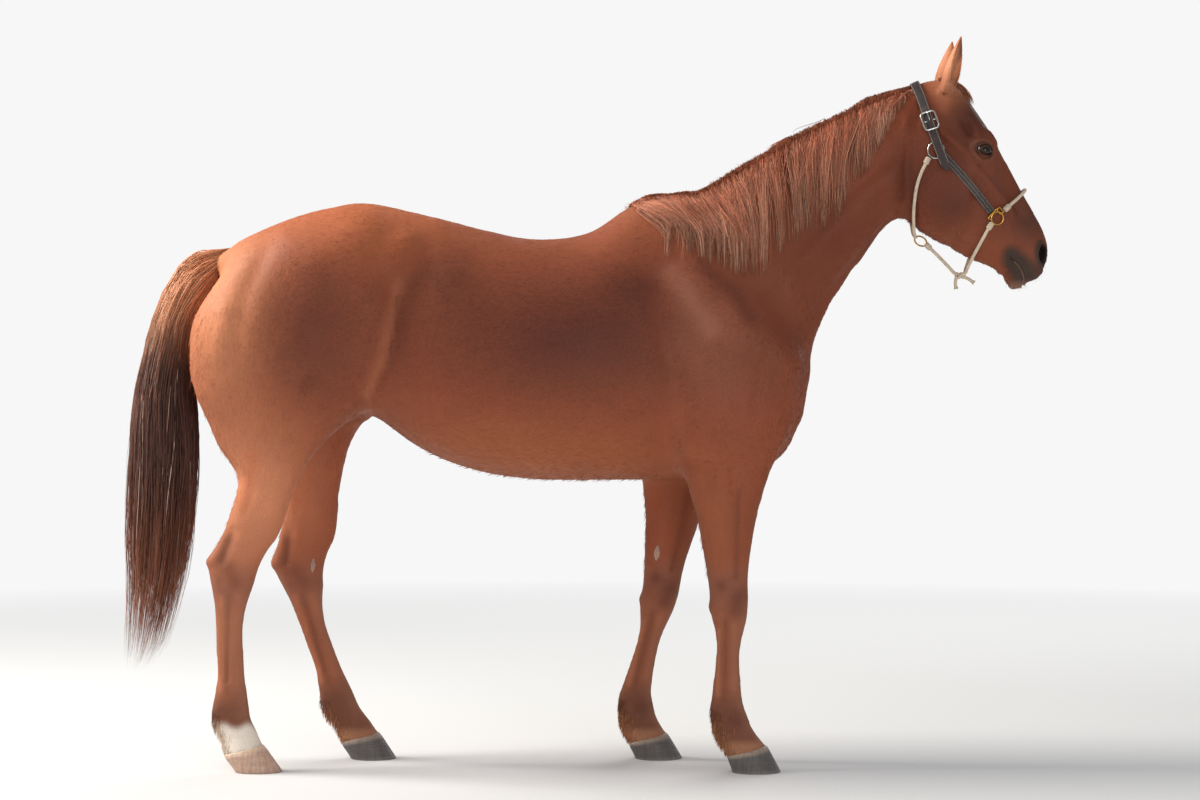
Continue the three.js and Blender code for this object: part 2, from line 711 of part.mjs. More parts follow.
// Boxes that hold a left foreleg and a left hind leg, up to where they leave the trunk.
const ELBOW_CUT = 764;
const STIFLE_CUT = 935;
const SIDE = 600; // wider than the horse
const BELOW = -50; // under the floor
const BEHIND = -1200;
const foreBoxes = [[[0, 0, BELOW], [620, SIDE, ELBOW_CUT]]];
const hindBoxes = [
  [[BEHIND, 0, BELOW], [-592, SIDE, STIFLE_CUT]],
  [[BEHIND, 0, BELOW], [-400, SIDE, 700]],
];
const onRight = (boxes) => boxes.map(([low, high]) => [[low[0], -SIDE, low[2]], [high[0], 0, high[2]]]);
const [foreRightLeg, afterFirst] = taken(body, onRight(foreBoxes));
const [foreLeftLeg, afterFore] = taken(afterFirst, foreBoxes);
const [hindRightLeg, afterThird] = taken(afterFore, onRight(hindBoxes));
const [hindLeftLeg, torso] = taken(afterThird, hindBoxes);

// The heights at which each leg's pastern and cannon end.
const FORE_JOINTS = [205, 515];
const HIND_RIGHT_JOINTS = [215, 620];
const HIND_LEFT_JOINTS = [215, 600];
legPieces("fore_right", foreRightLeg, FORE_RIGHT, FORE_JOINTS, DARK_HOOF);
legPieces("fore_left", foreLeftLeg, FORE_LEFT, FORE_JOINTS, DARK_HOOF);
legPieces("hind_right", hindRightLeg, HIND_RIGHT, HIND_RIGHT_JOINTS, PALE_HOOF);
legPieces("hind_left", hindLeftLeg, HIND_LEFT, HIND_LEFT_JOINTS, DARK_HOOF);

// Where the neck leaves the trunk and the head leaves the neck: a point [x, z] and the way across the cut.
const SHOULDER_CUT = [[215, 1560], [510, 385]];
const POLL_CUT = [[893, 1870], [430, -51]];
const [front, trunkPiece] = cut(torso, ...SHOULDER_CUT);
const [wholeHead, neckPiece] = cut(front, ...POLL_CUT);
const eyes = [EYE, [EYE[0], -EYE[1], EYE[2]]];
const sockets = eyes.map((eye) => ellipsoid(eye, Array(3).fill(EYE_RADIUS + 5 * GAP), 12, 8));
add("trunk", trunkPiece, COAT);
add("neck", neckPiece, COAT);
add("head", sockets.reduce((left, socket) => left.subtract(socket), wholeHead), COAT);
["left", "right"].forEach((side, i) => {
  add(`eye_${side}`, ellipsoid(eyes[i], Array(3).fill(EYE_RADIUS), 12, 7), EYE_COLOUR);
});

const earRight = ear(new THREE.Vector3(966, -46, 1826), new THREE.Vector3(1013, -62, 1953), -0.6);
const earLeft = ear(new THREE.Vector3(960, 46, 1824), new THREE.Vector3(999, 62, 1942), 0.75);
add("ear_right", clearOf(earRight, body, [[-0.5, 0, 1]]), COAT);
add("ear_left", clearOf(earLeft, body, [[-0.5, 0, 1]]), COAT);

add("tail", clearOf(tail(), body, [[-1, 0, 0]]), TAIL_HAIR);

const surface = new THREE.Mesh(surfaceOf(body));
add("mane", clearOf(hangingHair(surface, MANE), body, [[0, -1, 0.8]]), HAIR);

halter();

export default group;
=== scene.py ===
# Looks of a standing stock horse with a leather and rope halter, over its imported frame.
# Metres, or millimetres where a name or comment says so. +X is where the horse faces, +Y its left, +Z up.
import math

import bmesh
import bpy
import numpy as np
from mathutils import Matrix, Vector
from mathutils.bvhtree import BVHTree


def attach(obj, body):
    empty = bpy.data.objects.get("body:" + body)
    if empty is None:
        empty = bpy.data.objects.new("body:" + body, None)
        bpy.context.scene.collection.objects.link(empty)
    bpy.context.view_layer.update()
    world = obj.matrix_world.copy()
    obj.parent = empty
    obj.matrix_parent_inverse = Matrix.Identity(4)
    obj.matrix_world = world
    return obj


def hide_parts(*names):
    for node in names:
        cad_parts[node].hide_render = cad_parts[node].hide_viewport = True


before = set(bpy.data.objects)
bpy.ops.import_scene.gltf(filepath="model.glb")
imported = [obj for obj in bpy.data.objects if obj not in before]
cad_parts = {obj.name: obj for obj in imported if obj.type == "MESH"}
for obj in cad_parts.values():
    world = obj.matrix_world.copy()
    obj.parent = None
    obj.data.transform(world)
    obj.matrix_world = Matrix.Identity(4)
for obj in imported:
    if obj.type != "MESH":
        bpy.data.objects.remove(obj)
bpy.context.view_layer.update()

MM = 0.001
COAT_DEPTH = 3.5 * MM  # the skin lies this far inside the solids
random = np.random.default_rng(7)
tau = 2 * math.pi
SIDES = {"right": -1, "left": 1}  # the sign of y on each side of the horse


# ---------- small helpers ----------

def srgb(red, green, blue):
    """A colour from 0 to 255 as linear light."""
    value = np.array([red, green, blue], float) / 255
    return np.where(value <= 0.04045, value / 12.92, ((value + 0.055) / 1.055) ** 2.4)


def lerp(a, b, t):
    return a + (b - a) * t


def smooth(low, high, value):
    """A soft step from 0 at low to 1 at high."""
    t = np.clip((value - low) / (high - low), 0, 1)
    return t * t * (3 - 2 * t)


def unit(v):
    v = np.asarray(v, float)
    return v / np.maximum(np.linalg.norm(v, axis=-1, keepdims=True), 1e-12)


def between(at, known, table):
    """The columns of a table, interpolated at places between the known ones."""
    return [np.interp(at, known, column) for column in np.asarray(table, float).T]


def chance(*shape):
    """Random numbers from 0 to 1."""
    return random.uniform(0, 1, shape)


def side_view(points):
    """The x and z of points, in millimetres."""
    return points[:, [0, 2]] / MM


def new_mesh(name, points, faces):
    """A mesh from points and lists of faces, each list an array of faces with the same number of corners."""
    groups = [np.asarray(f, np.int32) for f in (faces if isinstance(faces, list) else [faces])]
    mesh = bpy.data.meshes.new(name)
    sizes = np.concatenate([np.full(len(g), g.shape[1], np.int32) for g in groups])
    corners = np.concatenate([g.ravel() for g in groups])
    mesh.vertices.add(len(points))
    mesh.vertices.foreach_set("co", np.asarray(points, np.float32).ravel())
    mesh.loops.add(len(corners))
    mesh.loops.foreach_set("vertex_index", corners)
    mesh.polygons.add(len(sizes))
    starts = np.concatenate([[0], np.cumsum(sizes)[:-1]]).astype(np.int32)
    mesh.polygons.foreach_set("loop_start", starts)
    mesh.update(calc_edges=True)
    mesh.validate()
    return mesh


def linked(name, data):
    """An object in the scene that shows some data."""
    made = bpy.data.objects.new(name, data)
    bpy.context.scene.collection.objects.link(made)
    return made


def piece(name, mesh, colours, material, replaces=()):
    """A visible piece of the horse, on its one body. The material reads the colour stored at each point."""
    tint = np.ones((len(mesh.vertices), 4), np.float32)
    tint[:, :3] = colours
    mesh.color_attributes.new("tint", "FLOAT_COLOR", "POINT").data.foreach_set("color", tint.ravel())
    mesh.materials.append(material)
    mesh.polygons.foreach_set("use_smooth", np.full(len(mesh.polygons), True))
    made = linked(name, mesh)
    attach(made, "root")
    if replaces:
        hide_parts(*replaces)
    return made


def numbers(items, field, width=1, kind=np.float32):
    """A field of all of a mesh's items, with a row of width numbers for each."""
    found = np.empty(len(items) * width, kind)
    items.foreach_get(field, found)
    return found.reshape(-1, width) if width > 1 else found


def points_of(mesh):
    return numbers(mesh.vertices, "co", 3).astype(float)


def normals_of(mesh):
    return numbers(mesh.vertex_normals, "vector", 3).astype(float)


def edges_of(mesh):
    return numbers(mesh.edges, "vertices", 2, np.int32)


def faces_of(mesh):
    """A mesh's faces, as one array for the four-sided and one for the three-sided."""
    corners = numbers(mesh.loops, "vertex_index", kind=np.int32)
    sizes = numbers(mesh.polygons, "loop_total", kind=np.int32)
    starts = np.cumsum(sizes) - sizes
    return [corners[starts[sizes == n][:, None] + np.arange(n)] for n in (4, 3) if (sizes == n).any()]


def move_points(mesh, points):
    mesh.vertices.foreach_set("co", points.astype(np.float32).ravel())
    mesh.update()


def joined(parts):
    """Points and faces of several (points, list of faces) as one."""
    points, faces, start = [], [], 0
    for more, groups in parts:
        points.append(more)
        faces += [np.asarray(g) + start for g in groups]
        start += len(more)
    return np.concatenate(points), faces


def outward(part):
    """The same closed shape with its faces turned out."""
    points, groups = part
    volume = 0
    for faces in groups:
        for k in range(1, faces.shape[1] - 1):
            volume += np.sum(points[faces[:, 0]] * np.cross(points[faces[:, k]], points[faces[:, k + 1]]))
    return points, groups if volume > 0 else [faces[:, ::-1] for faces in groups]


# ---------- materials ----------

class Nodes:
    """Short ways to build the nodes of a material or the world."""

    def __init__(self, owner):
        owner.use_nodes = True
        self.owner = owner
        self.tree = owner.node_tree
        self.shader = self.tree.nodes.get("Principled BSDF")

    def feed(self, socket, value):
        """Links an output to a socket, or stores a number, a vector or a colour in it."""
        if isinstance(value, bpy.types.NodeSocket):
            self.tree.links.new(value, socket)
        else:
            socket.default_value = (*value, 1) if socket.type == "RGBA" else value

    def add(self, kind, feeds=None, **settings):
        """A new node with its settings and what feeds its sockets."""
        node = self.tree.nodes.new(kind)
        for key, value in settings.items():
            setattr(node, key, value)
        for key, value in (feeds or {}).items():
            self.feed(node.inputs[key], value)
        return node

    def place(self):
        """The place on the piece, in metres."""
        return self.add("ShaderNodeTexCoord").outputs["Object"]

    def noise(self, scale, detail, stretch=(1, 1, 1)):
        place = self.add("ShaderNodeMapping", {"Scale": stretch, "Vector": self.place()}).outputs["Vector"]
        return self.add("ShaderNodeTexNoise", {"Scale": scale, "Detail": detail, "Roughness": 0.55,
                                               "Vector": place}).outputs["Fac"]

    def spread(self, value, low, high, from_low=0.3, from_high=0.7):
        return self.add("ShaderNodeMapRange", {"Value": value, "From Min": from_low, "From Max": from_high,
                                               "To Min": low, "To Max": high}).outputs["Result"]

    def shade(self, scale, detail, low, high, stretch=(1, 1, 1)):
        """Noise between low and high."""
        return self.spread(self.noise(scale, detail, stretch), low, high)

    def math(self, kind, first, second):
        return self.add("ShaderNodeMath", {0: first, 1: second}, operation=kind).outputs[0]

    def tinted(self, factor):
        """The piece's stored tint, made lighter or darker by a factor."""
        tint = self.add("ShaderNodeVertexColor", layer_name="tint").outputs["Color"]
        return self.add("ShaderNodeVectorMath", {0: tint, "Scale": factor}, operation="SCALE").outputs[0]

    def bump(self, height, distance, strength):
        node = self.add("ShaderNodeBump", {"Strength": strength, "Distance": distance, "Height": height})
        self.feed(self.shader.inputs["Normal"], node.outputs["Normal"])

    def finish(self, **sockets):
        for key, value in sockets.items():
            self.feed(self.shader.inputs[key.replace("_", " ")], value)
        return self.owner

    def to_camera(self, shader, seen, output, share=None):
        """Shows the camera one shader in place of another, in part where there is a share."""
        factor = self.add("ShaderNodeLightPath").outputs["Is Camera Ray"]
        if share is not None:
            factor = self.math("MULTIPLY", share, factor)
        mix = self.add("ShaderNodeMixShader", {0: factor, 1: shader.outputs[0], 2: seen.outputs[0]})
        self.feed(self.tree.nodes[output].inputs["Surface"], mix.outputs[0])


def tinted_material(name, shades, bump, rough, **constants):
    """A material in the stored tint, made lighter and darker by noise. A shade is (scale, detail, low, high)
    and the bump (scale, detail, distance, strength), both with a stretch if need be. The roughness is a
    number or a shade."""
    nodes = Nodes(bpy.data.materials.new(name))
    factor = nodes.shade(*shades[0])
    for shade in shades[1:]:
        factor = nodes.math("MULTIPLY", factor, nodes.shade(*shade))
    if bump:
        scale, detail, distance, strength, *stretch = bump
        nodes.bump(nodes.noise(scale, detail, *stretch), distance, strength)
    if isinstance(rough, tuple):
        rough = nodes.shade(*rough)
    return nodes.finish(Base_Color=nodes.tinted(factor), Roughness=rough, **constants)


def skin_material():
    """The ground under the tufts of the coat, with a fine grain that runs along it."""
    return tinted_material("horse_skin", [(9, 4, 0.93, 1.07), (420, 2, 0.88, 1.12)],
                           (700, 2, 0.0012, 0.5, (0.5, 1, 0.7)), (60, 3, 0.5, 0.62), Specular_IOR_Level=0.16)


def hair_material(name, rough, grain=0.12, sheen=0.25):
    return tinted_material(name, [(160, 2, 1 - grain, 1 + grain)], (900, 1, 0.0004, 0.35), rough,
                           Specular_IOR_Level=sheen)


def rope_material():
    """Cream cotton, a little soiled, with fine fibres."""
    return tinted_material("rope", [(70, 3, 0.82, 1.06), (1500, 2, 0.86, 1.1)], (2200, 2, 0.0003, 0.5), 0.85,
                           Specular_IOR_Level=0.2)


def leather_material():
    """Dark brown strap leather with a pebbled grain and worn edges."""
    return tinted_material("strap_leather", [(55, 4, 0.78, 1.3), (900, 2, 0.85, 1.15)],
                           (1100, 3, 0.0005, 0.5), (120, 3, 0.38, 0.6))


def metal_material(name, colour, worn):
    """Polished metal with faint smears and fine scratches."""
    nodes = Nodes(bpy.data.materials.new(name))
    smears = nodes.noise(45, 4)
    nodes.bump(nodes.noise(800, 2, (1, 0.2, 1)), 0.0002, 0.25)
    mixed = nodes.add("ShaderNodeMix", {0: nodes.spread(smears, 0, 1), 6: colour, 7: worn}, data_type="RGBA")
    return nodes.finish(Base_Color=mixed.outputs[2], Roughness=nodes.spread(smears, 0.16, 0.34), Metallic=1.0)


def horn_material():
    """Hoof horn: fine streaks down the wall and faint rings round it."""
    nodes = Nodes(bpy.data.materials.new("horn"))
    streaks, rings = nodes.noise(260, 3, (1, 1, 0.12)), nodes.noise(150, 2, (0.1, 0.1, 1))
    factor = nodes.math("MULTIPLY", nodes.spread(streaks, 0.86, 1.14), nodes.spread(rings, 0.92, 1.08))
    nodes.bump(nodes.math("ADD", rings, nodes.math("MULTIPLY", streaks, 0.5)), 0.0008, 0.5)
    return nodes.finish(Base_Color=nodes.tinted(factor), Roughness=nodes.shade(90, 3, 0.42, 0.6))


def eye_material():
    """A wet eye: streaks in the iris under a clear layer."""
    return tinted_material("eye", [(420, 3, 0.75, 1.25)], None, 0.3, Specular_IOR_Level=0.15, Coat_Weight=0.5,
                           Coat_Roughness=0.04)


# ---------- lofts ----------

def through(rows):
    """A smooth curve through rows, as a function of the row number."""
    rows = np.asarray(rows, float)
    gap = np.linalg.norm(np.diff(rows[:, :4], axis=0), axis=1)[:, None]
    rise = np.diff(rows, axis=0) / gap
    slope = np.empty_like(rows)
    slope[0], slope[-1] = rise[0], rise[-1]
    slope[1:-1] = (rise[:-1] * gap[1:] + rise[1:] * gap[:-1]) / (gap[:-1] + gap[1:])

    def value(at):
        i = np.clip(np.floor(at).astype(int), 0, len(rows) - 2)
        f = (at - i)[:, None]
        m, n = slope[i] * gap[i], slope[i + 1] * gap[i]
        return ((2 * f**3 - 3 * f**2 + 1) * rows[i] + (f**3 - 2 * f**2 + f) * m
                + (3 * f**2 - 2 * f**3) * rows[i + 1] + (f**3 - f**2) * n)

    return value, gap.ravel()


def section(row, count):
    """A superelliptic ring between two edge points of the side outline, as in the solids."""
    ax, az, bx, bz, y, half, widest, front, back = row
    angle = tau * np.arange(count) / count
    c, s = np.cos(angle), np.sin(angle)
    power = 2 / np.where(c > 0, front, back)
    reach = np.abs(c) ** power
    along = np.where(c > 0, widest * (1 - reach), widest + (1 - widest) * reach)
    out = y + half * np.sign(s) * np.abs(s) ** power
    return np.stack([lerp(ax, bx, along), out, lerp(az, bz, along)], 1)


def over_rings(rings):
    """Points and faces through rings, with a fan over each end."""
    rings = np.asarray(rings, float)
    layers, count = rings.shape[:2]
    points = np.concatenate([rings.reshape(-1, 3), rings[:1].mean(1), rings[-1:].mean(1)])
    a = np.arange((layers - 1) * count)
    b = a - a % count + (a + 1) % count
    sides = np.stack([a, b, b + count, a + count], 1)
    i, j = np.arange(count), (np.arange(count) + 1) % count
    top = (layers - 1) * count
    ends = np.concatenate([np.stack([j, i, np.full(count, top + count)], 1),
                           np.stack([top + i, top + j, np.full(count, top + count + 1)], 1)])
    return points, [sides, ends]


def loft(rows, step, count):
    """A closed mesh in metres through outline rows in millimetres, with rings about step apart."""
    value, gaps = through(rows)
    at = [0.0]
    for i, gap in enumerate(gaps):
        parts = max(1, round(gap / step / math.sqrt(2)))
        at += [i + (k + 1) / parts for k in range(parts)]
    return over_rings([section(row, count) * MM for row in value(np.array(at))])


# Outline rows of the body, as in the solids: top x, z, bottom x, z, middle y, half width, widest place,
# roundness above and below. Millimetres.
TRUNK = [
    (-985, 1372, -985, 1240, 0, 62, 0.5, 2, 2), (-955, 1406, -955, 1130, 0, 142, 0.45, 2.1, 2),
    (-890, 1441, -880, 1010, 0, 212, 0.45, 2.2, 2), (-790, 1482, -780, 975, 0, 262, 0.48, 2.2, 2),
    (-680, 1511, -680, 945, 0, 277, 0.5, 2.2, 2), (-580, 1517, -580, 944, 0, 278, 0.5, 2.3, 2.1),
    (-480, 1498, -490, 880, 0, 270, 0.52, 2.1, 2.1), (-380, 1475, -385, 824, 0, 283, 0.56, 2.1, 2.1),
    (-250, 1441, -250, 784, 0, 297, 0.56, 2.1, 2.1), (-95, 1424, -95, 768, 0, 303, 0.55, 2.1, 2.1),
    (20, 1446, 20, 768, 0, 295, 0.54, 2, 2.1), (105, 1505, 110, 768, 0, 276, 0.55, 1.75, 2.1),
    (190, 1545, 200, 768, 0, 251, 0.56, 1.65, 2.1), (290, 1520, 300, 770, 0, 232, 0.55, 1.8, 2.1),
    (395, 1430, 400, 778, 0, 216, 0.55, 2, 2.1), (485, 1290, 485, 800, 0, 202, 0.5, 2.1, 2),
    (552, 1170, 555, 858, 0, 170, 0.45, 2.2, 2), (587, 1088, 582, 962, 0, 95, 0.45, 2, 2),
]
NECK = [
    (150, 1500, 500, 900, 0, 150, 0.6, 2, 2), (215, 1540, 580, 985, 0, 178, 0.62, 1.7, 2.2),
    (320, 1556, 606, 1072, 0, 158, 0.62, 1.6, 2.2), (420, 1603, 640, 1182, 0, 124, 0.6, 1.6, 2.2),
    (520, 1661, 684, 1260, 0, 104, 0.58, 1.7, 2.1), (620, 1715, 728, 1330, 0, 90, 0.55, 1.8, 2.1),
    (715, 1758, 771, 1398, 0, 81, 0.52, 1.9, 2.1), (805, 1800, 812, 1452, 0, 74, 0.5, 2, 2.1),
    (880, 1830, 850, 1474, 0, 72, 0.48, 2, 2.1), (930, 1840, 905, 1480, 0, 55, 0.5, 2, 2),
]
HEAD = [
    (868, 1826, 838, 1560, 0, 48, 0.4, 2, 2), (905, 1846, 848, 1500, 0, 62, 0.4, 2, 2),
    (955, 1854, 868, 1466, 0, 72, 0.38, 2.2, 2.1), (1006, 1830, 905, 1443, 0, 82, 0.36, 2.5, 2.2),
    (1050, 1769, 945, 1419, 0, 94, 0.3, 2.6, 2.1), (1086, 1716, 985, 1397, 0, 98, 0.28, 2.6, 2.1),
    (1116, 1668, 1018, 1380, 0, 88, 0.32, 2.4, 2.1), (1146, 1612, 1050, 1364, 0, 73, 0.4, 2.3, 2.2),
    (1177, 1556, 1080, 1353, 0, 60, 0.45, 2.3, 2.2), (1209, 1501, 1103, 1342, 0, 51, 0.45, 2.3, 2.2),
    (1236, 1452, 1107, 1322, 0, 49, 0.45, 2.4, 2.1), (1251, 1402, 1117, 1301, 0, 52, 0.42, 2.6, 2.1),
    (1249, 1362, 1132, 1288, 0, 50, 0.4, 2.4, 2.1), (1238, 1330, 1156, 1283, 0, 40, 0.4, 2.2, 2),
    (1222, 1309, 1180, 1292, 0, 22, 0.45, 2, 2),
]

# The flesh of the tail's root, under its hair.
DOCK = [
    (-930, 1405, -935, 1345, 0, 26, 0.5, 2, 2), (-975, 1398, -978, 1345, 0, 24, 0.5, 2, 2),
    (-1020, 1385, -1008, 1330, 0, 22, 0.5, 2, 2), (-1065, 1340, -1040, 1300, 0, 19, 0.5, 2, 2),
    (-1098, 1270, -1068, 1250, 0, 15, 0.5, 2, 2), (-1112, 1200, -1090, 1190, 0, 10, 0.5, 2, 2),
    (-1116, 1150, -1104, 1148, 0, 4, 0.5, 2, 2),
]

# Rows of the limbs: level (counting joints from the top), front, back, half width, roundness.
LIMBS = {
    "fore": [
        (-0.25, 70, 50, 30, 2), (-0.12, 125, 85, 62, 2), (0.05, 165, 100, 82, 2.1), (0.25, 193, 106, 93, 2.1),
        (0.5, 186, 116, 95, 2.1), (0.75, 166, 124, 86, 2.1), (1, 128, 118, 70, 2.2),
        (1.13, 110, 106, 63, 2.2),
        (1.32, 88, 86, 57, 2.2), (1.52, 73, 74, 52, 2.2), (1.76, 59, 61, 44, 2.2), (1.94, 55, 54, 43, 2.5),
        (2.03, 55, 54, 43, 2.5), (2.15, 52, 49, 38, 2.4), (2.27, 44, 40, 31, 2.2), (2.41, 35, 37, 27, 2.2),
        (2.66, 34, 43, 26, 2.2), (2.86, 38, 50, 31, 2.2), (2.97, 43, 53, 35, 2.2), (3.17, 46, 58, 35, 2.2),
        (3.43, 42, 66, 31, 2.2), (3.69, 46, 66, 34, 2.2), (4, 55, 55, 49, 2.1), (4.15, 58, 55, 52, 2.1),
    ],
    "hind": [
        (-0.35, 90, 110, 50, 2), (0, 205, 195, 82, 2.1), (0.3, 262, 240, 113, 2.2),
        (0.565, 278, 264, 126, 2.2),
        (1, 268, 268, 128, 2.2), (1.54, 242, 241, 112, 2.2), (2, 192, 192, 90, 2.2),
        (2.51, 124, 147, 70, 2.2),
        (3, 86, 88, 57, 2.2), (3.24, 84, 77, 52, 2.1), (3.42, 89, 75, 48, 2.1), (3.68, 88, 76, 44, 2.1),
        (3.81, 75, 81, 44, 2.2), (3.91, 70, 88, 44, 2.2), (4.02, 65, 75, 44, 2.3), (4.12, 55, 67, 42, 2.3),
        (4.24, 40, 58, 34, 2.2), (4.35, 31, 54, 28, 2.2), (4.6, 32, 48, 25, 2.2), (4.79, 39, 45, 27, 2.2),
        (4.88, 45, 50, 32, 2.2), (4.97, 50, 54, 35, 2.2), (5.22, 48, 60, 34, 2.2), (5.41, 52, 58, 31, 2.2),
        (5.64, 54, 50, 33, 2.2), (6, 55, 52, 47, 2.1), (6.15, 58, 52, 50, 2.1),
    ],
}
LEGS = {
    "fore_right": [(400, -140, 1180), (372, -144, 800), (382, -140, 450), (383, -140, 165),
                   (431, -140, 54), (449, -140, 0)],
    "fore_left": [(385, 140, 1180), (265, 144, 800), (204, 140, 450), (140, 140, 165),
                  (172, 140, 54), (195, 140, 0)],
    "hind_right": [(-772, -150, 1330), (-780, -150, 1100), (-816, -140, 932), (-838, -136, 778),
                   (-930, -136, 545), (-940, -136, 160), (-908, -136, 56), (-874, -136, 0)],
    "hind_left": [(-768, 150, 1330), (-765, 150, 1100), (-790, 140, 932), (-748, 136, 778),
                  (-785, 136, 520), (-677, 136, 160), (-620, 136, 56), (-590, 136, 0)],
}
HEEL_DROP = 13  # the coronet slopes down to the heel by twice this


def coronet_level(leg):
    return len(LEGS[leg]) - 2


def on_leg(leg, level):
    """The middle of a leg at a level, in millimetres."""
    joints = np.array(LEGS[leg], float)
    i = max(0, min(math.floor(level), len(joints) - 2))
    return joints[i] + (joints[i + 1] - joints[i]) * (level - i)


def limb(leg, anatomy):
    coronet = coronet_level(leg)
    rows = []
    for level, front, back, half, roundness in anatomy:
        x, y, z = on_leg(leg, level)
        fade = abs(level - coronet) / (1 if level > coronet else 0.9)
        drop = HEEL_DROP * max(0, 1 - fade)
        rows.append((x + front, z + drop, x - back, z - drop, y, half, front / (front + back),
                     roundness, roundness))
    return rows


# Rows of the ears: height, half width, depth of the back, how far round the rim comes (degrees). Millimetres.
EAR_ROWS = [(-14, 22, 21, 165), (4, 24, 23, 160), (22, 27, 25, 140), (45, 29, 26, 118), (70, 27, 23, 104),
            (95, 21, 18, 96), (116, 13.5, 12.5, 92), (130, 7, 8, 90), (139, 2.5, 4.5, 90), (142, 0.6, 3, 90)]
EAR_WALL = 3.2
# The base and tip of each ear, and the way its hollow turns, in radians.
EARS = {"right": ((966, -46, 1826), (1013, -62, 1953), -0.6),
        "left": ((960, 46, 1824), (999, 62, 1942), 0.75)}


def ear_axes(side):
    base, tip, turn = EARS[side]
    base, tip = np.array(base, float), np.array(tip, float)
    up = unit(tip - base)
    across = unit(np.cross(up, (math.cos(turn), math.sin(turn), 0)))
    return base, up, across, np.cross(across, up)


def ear_ring(side, height, half, back, angles):
    """Points round an ear at a height, the hollow opening ahead."""
    base, up, across, ahead = ear_axes(side)
    depth = np.where(np.abs(angles) < 90, -back, -0.55 * back) * np.cos(np.radians(angles))
    lean = -0.0009 * height**2 * (1 if height > 0 else 0)
    middle = base + up * height + ahead * (10 + lean)
    return (middle + np.outer(half * np.sin(np.radians(angles)), across) + np.outer(depth, ahead)) * MM


def ear_stub(side):
    """The solid root of an ear, which the skin is drawn over."""
    rows = [(-16, 25, 24), (-6, 25, 24), (8, 24, 23), (18, 22, 21), (24, 14, 13)]
    return over_rings([ear_ring(side, *row, np.arange(0, 360, 15) - 180.0) for row in rows])


def ear_shell(side):
    """The thin shell of an ear, with a rounded rim, rising out of its root."""
    rows = np.array(EAR_ROWS, float)
    heights = np.concatenate([np.linspace(-14, 110, 30), np.linspace(114, 142, 13)])
    rings = []
    for height in heights:
        half, back, reach = between(height, rows[:, 0], rows[:, 1:])
        wall = min(EAR_WALL, 0.42 * half + 0.3, 0.5 * back)
        angles = np.linspace(-reach, reach, 27)
        outer = ear_ring(side, height, half, back, angles)
        inner = ear_ring(side, height, max(half - wall, 0.2), max(back - wall, 0.3), angles[::-1] * 0.985)
        rings.append(np.concatenate([outer, inner]))
    return outward(over_rings(rings))


# ---------- lines and wires ----------

def line_through(points, step):
    """Places every step millimetres on a smooth line through points in millimetres, as metres."""
    fine = through(points)[0](np.linspace(0, len(points) - 1, 40 * len(points)))
    run = run_of(fine)
    even = np.linspace(0, run[-1], max(3, round(run[-1] / step) + 1))
    return np.stack(between(even, run, fine), 1) * MM


def run_of(path):
    """The distance along a line at each of its points."""
    return np.concatenate([[0], np.cumsum(np.linalg.norm(np.diff(path, axis=0), axis=1))])


def tube(path, radius, around=24):
    """A closed tube along a line, with a radius from the angle round it and the distance along it."""
    along = unit(np.gradient(path, axis=0))
    side = np.empty_like(path)
    way = np.cross(along[0], unit([0.1, 0.2, 1]))
    for i, ahead in enumerate(along):
        way = unit(way - ahead * (way @ ahead))
        side[i] = way
    up = np.cross(along, side)
    angle = tau * np.arange(around) / around
    reach = np.broadcast_to(radius(angle[None], run_of(path)[:, None]), (len(path), around))[..., None]
    turned = np.cos(angle)[:, None] * side[:, None] + np.sin(angle)[:, None] * up[:, None]
    return outward(over_rings(path[:, None] + reach * turned))


def hoop(loop, normal, radius, around=14):
    """A closed ring of round wire along a flat loop of points."""
    ahead = unit(np.roll(loop, -1, 0) - np.roll(loop, 1, 0))
    out = np.cross(ahead, unit(normal))
    angle = tau * np.arange(around) / around
    rings = (loop[:, None] + radius * (np.cos(angle)[:, None] * out[:, None]
                                       + np.sin(angle)[:, None] * unit(normal)))
    total = len(loop) * around
    a = np.arange(total)
    b = a - a % around + (a + 1) % around
    return outward((rings.reshape(-1, 3), [np.stack([a, b, (b + around) % total, (a + around) % total], 1)]))


def laid(flat, place, normal, along):
    """Points (u, v) or (u, v, w) in millimetres, laid at a place, w along the normal and u along a line."""
    z = unit(normal)
    y = unit(np.cross(z, along))
    x = np.cross(y, z)
    flat = np.asarray(flat, float)
    if flat.shape[1] == 2:
        flat = np.column_stack([flat, np.zeros(len(flat))])
    return (np.asarray(place, float) + flat @ np.stack([x, y, z])) * MM


def rounded(length, width, corner, parts=6):
    """The outline of a rectangle with round corners, closed."""
    points = []
    for k, (u, v) in enumerate([(1, 1), (-1, 1), (-1, -1), (1, -1)]):
        for i in range(parts + 1):
            angle = (k + i / parts) * math.pi / 2
            points.append((u * (length / 2 - corner) + corner * math.cos(angle),
                           v * (width / 2 - corner) + corner * math.sin(angle)))
    return points


def circle(radius, count=56):
    angle = tau * np.arange(count) / count
    return radius * np.stack([np.cos(angle), np.sin(angle)], 1)


# ---------- halter ----------

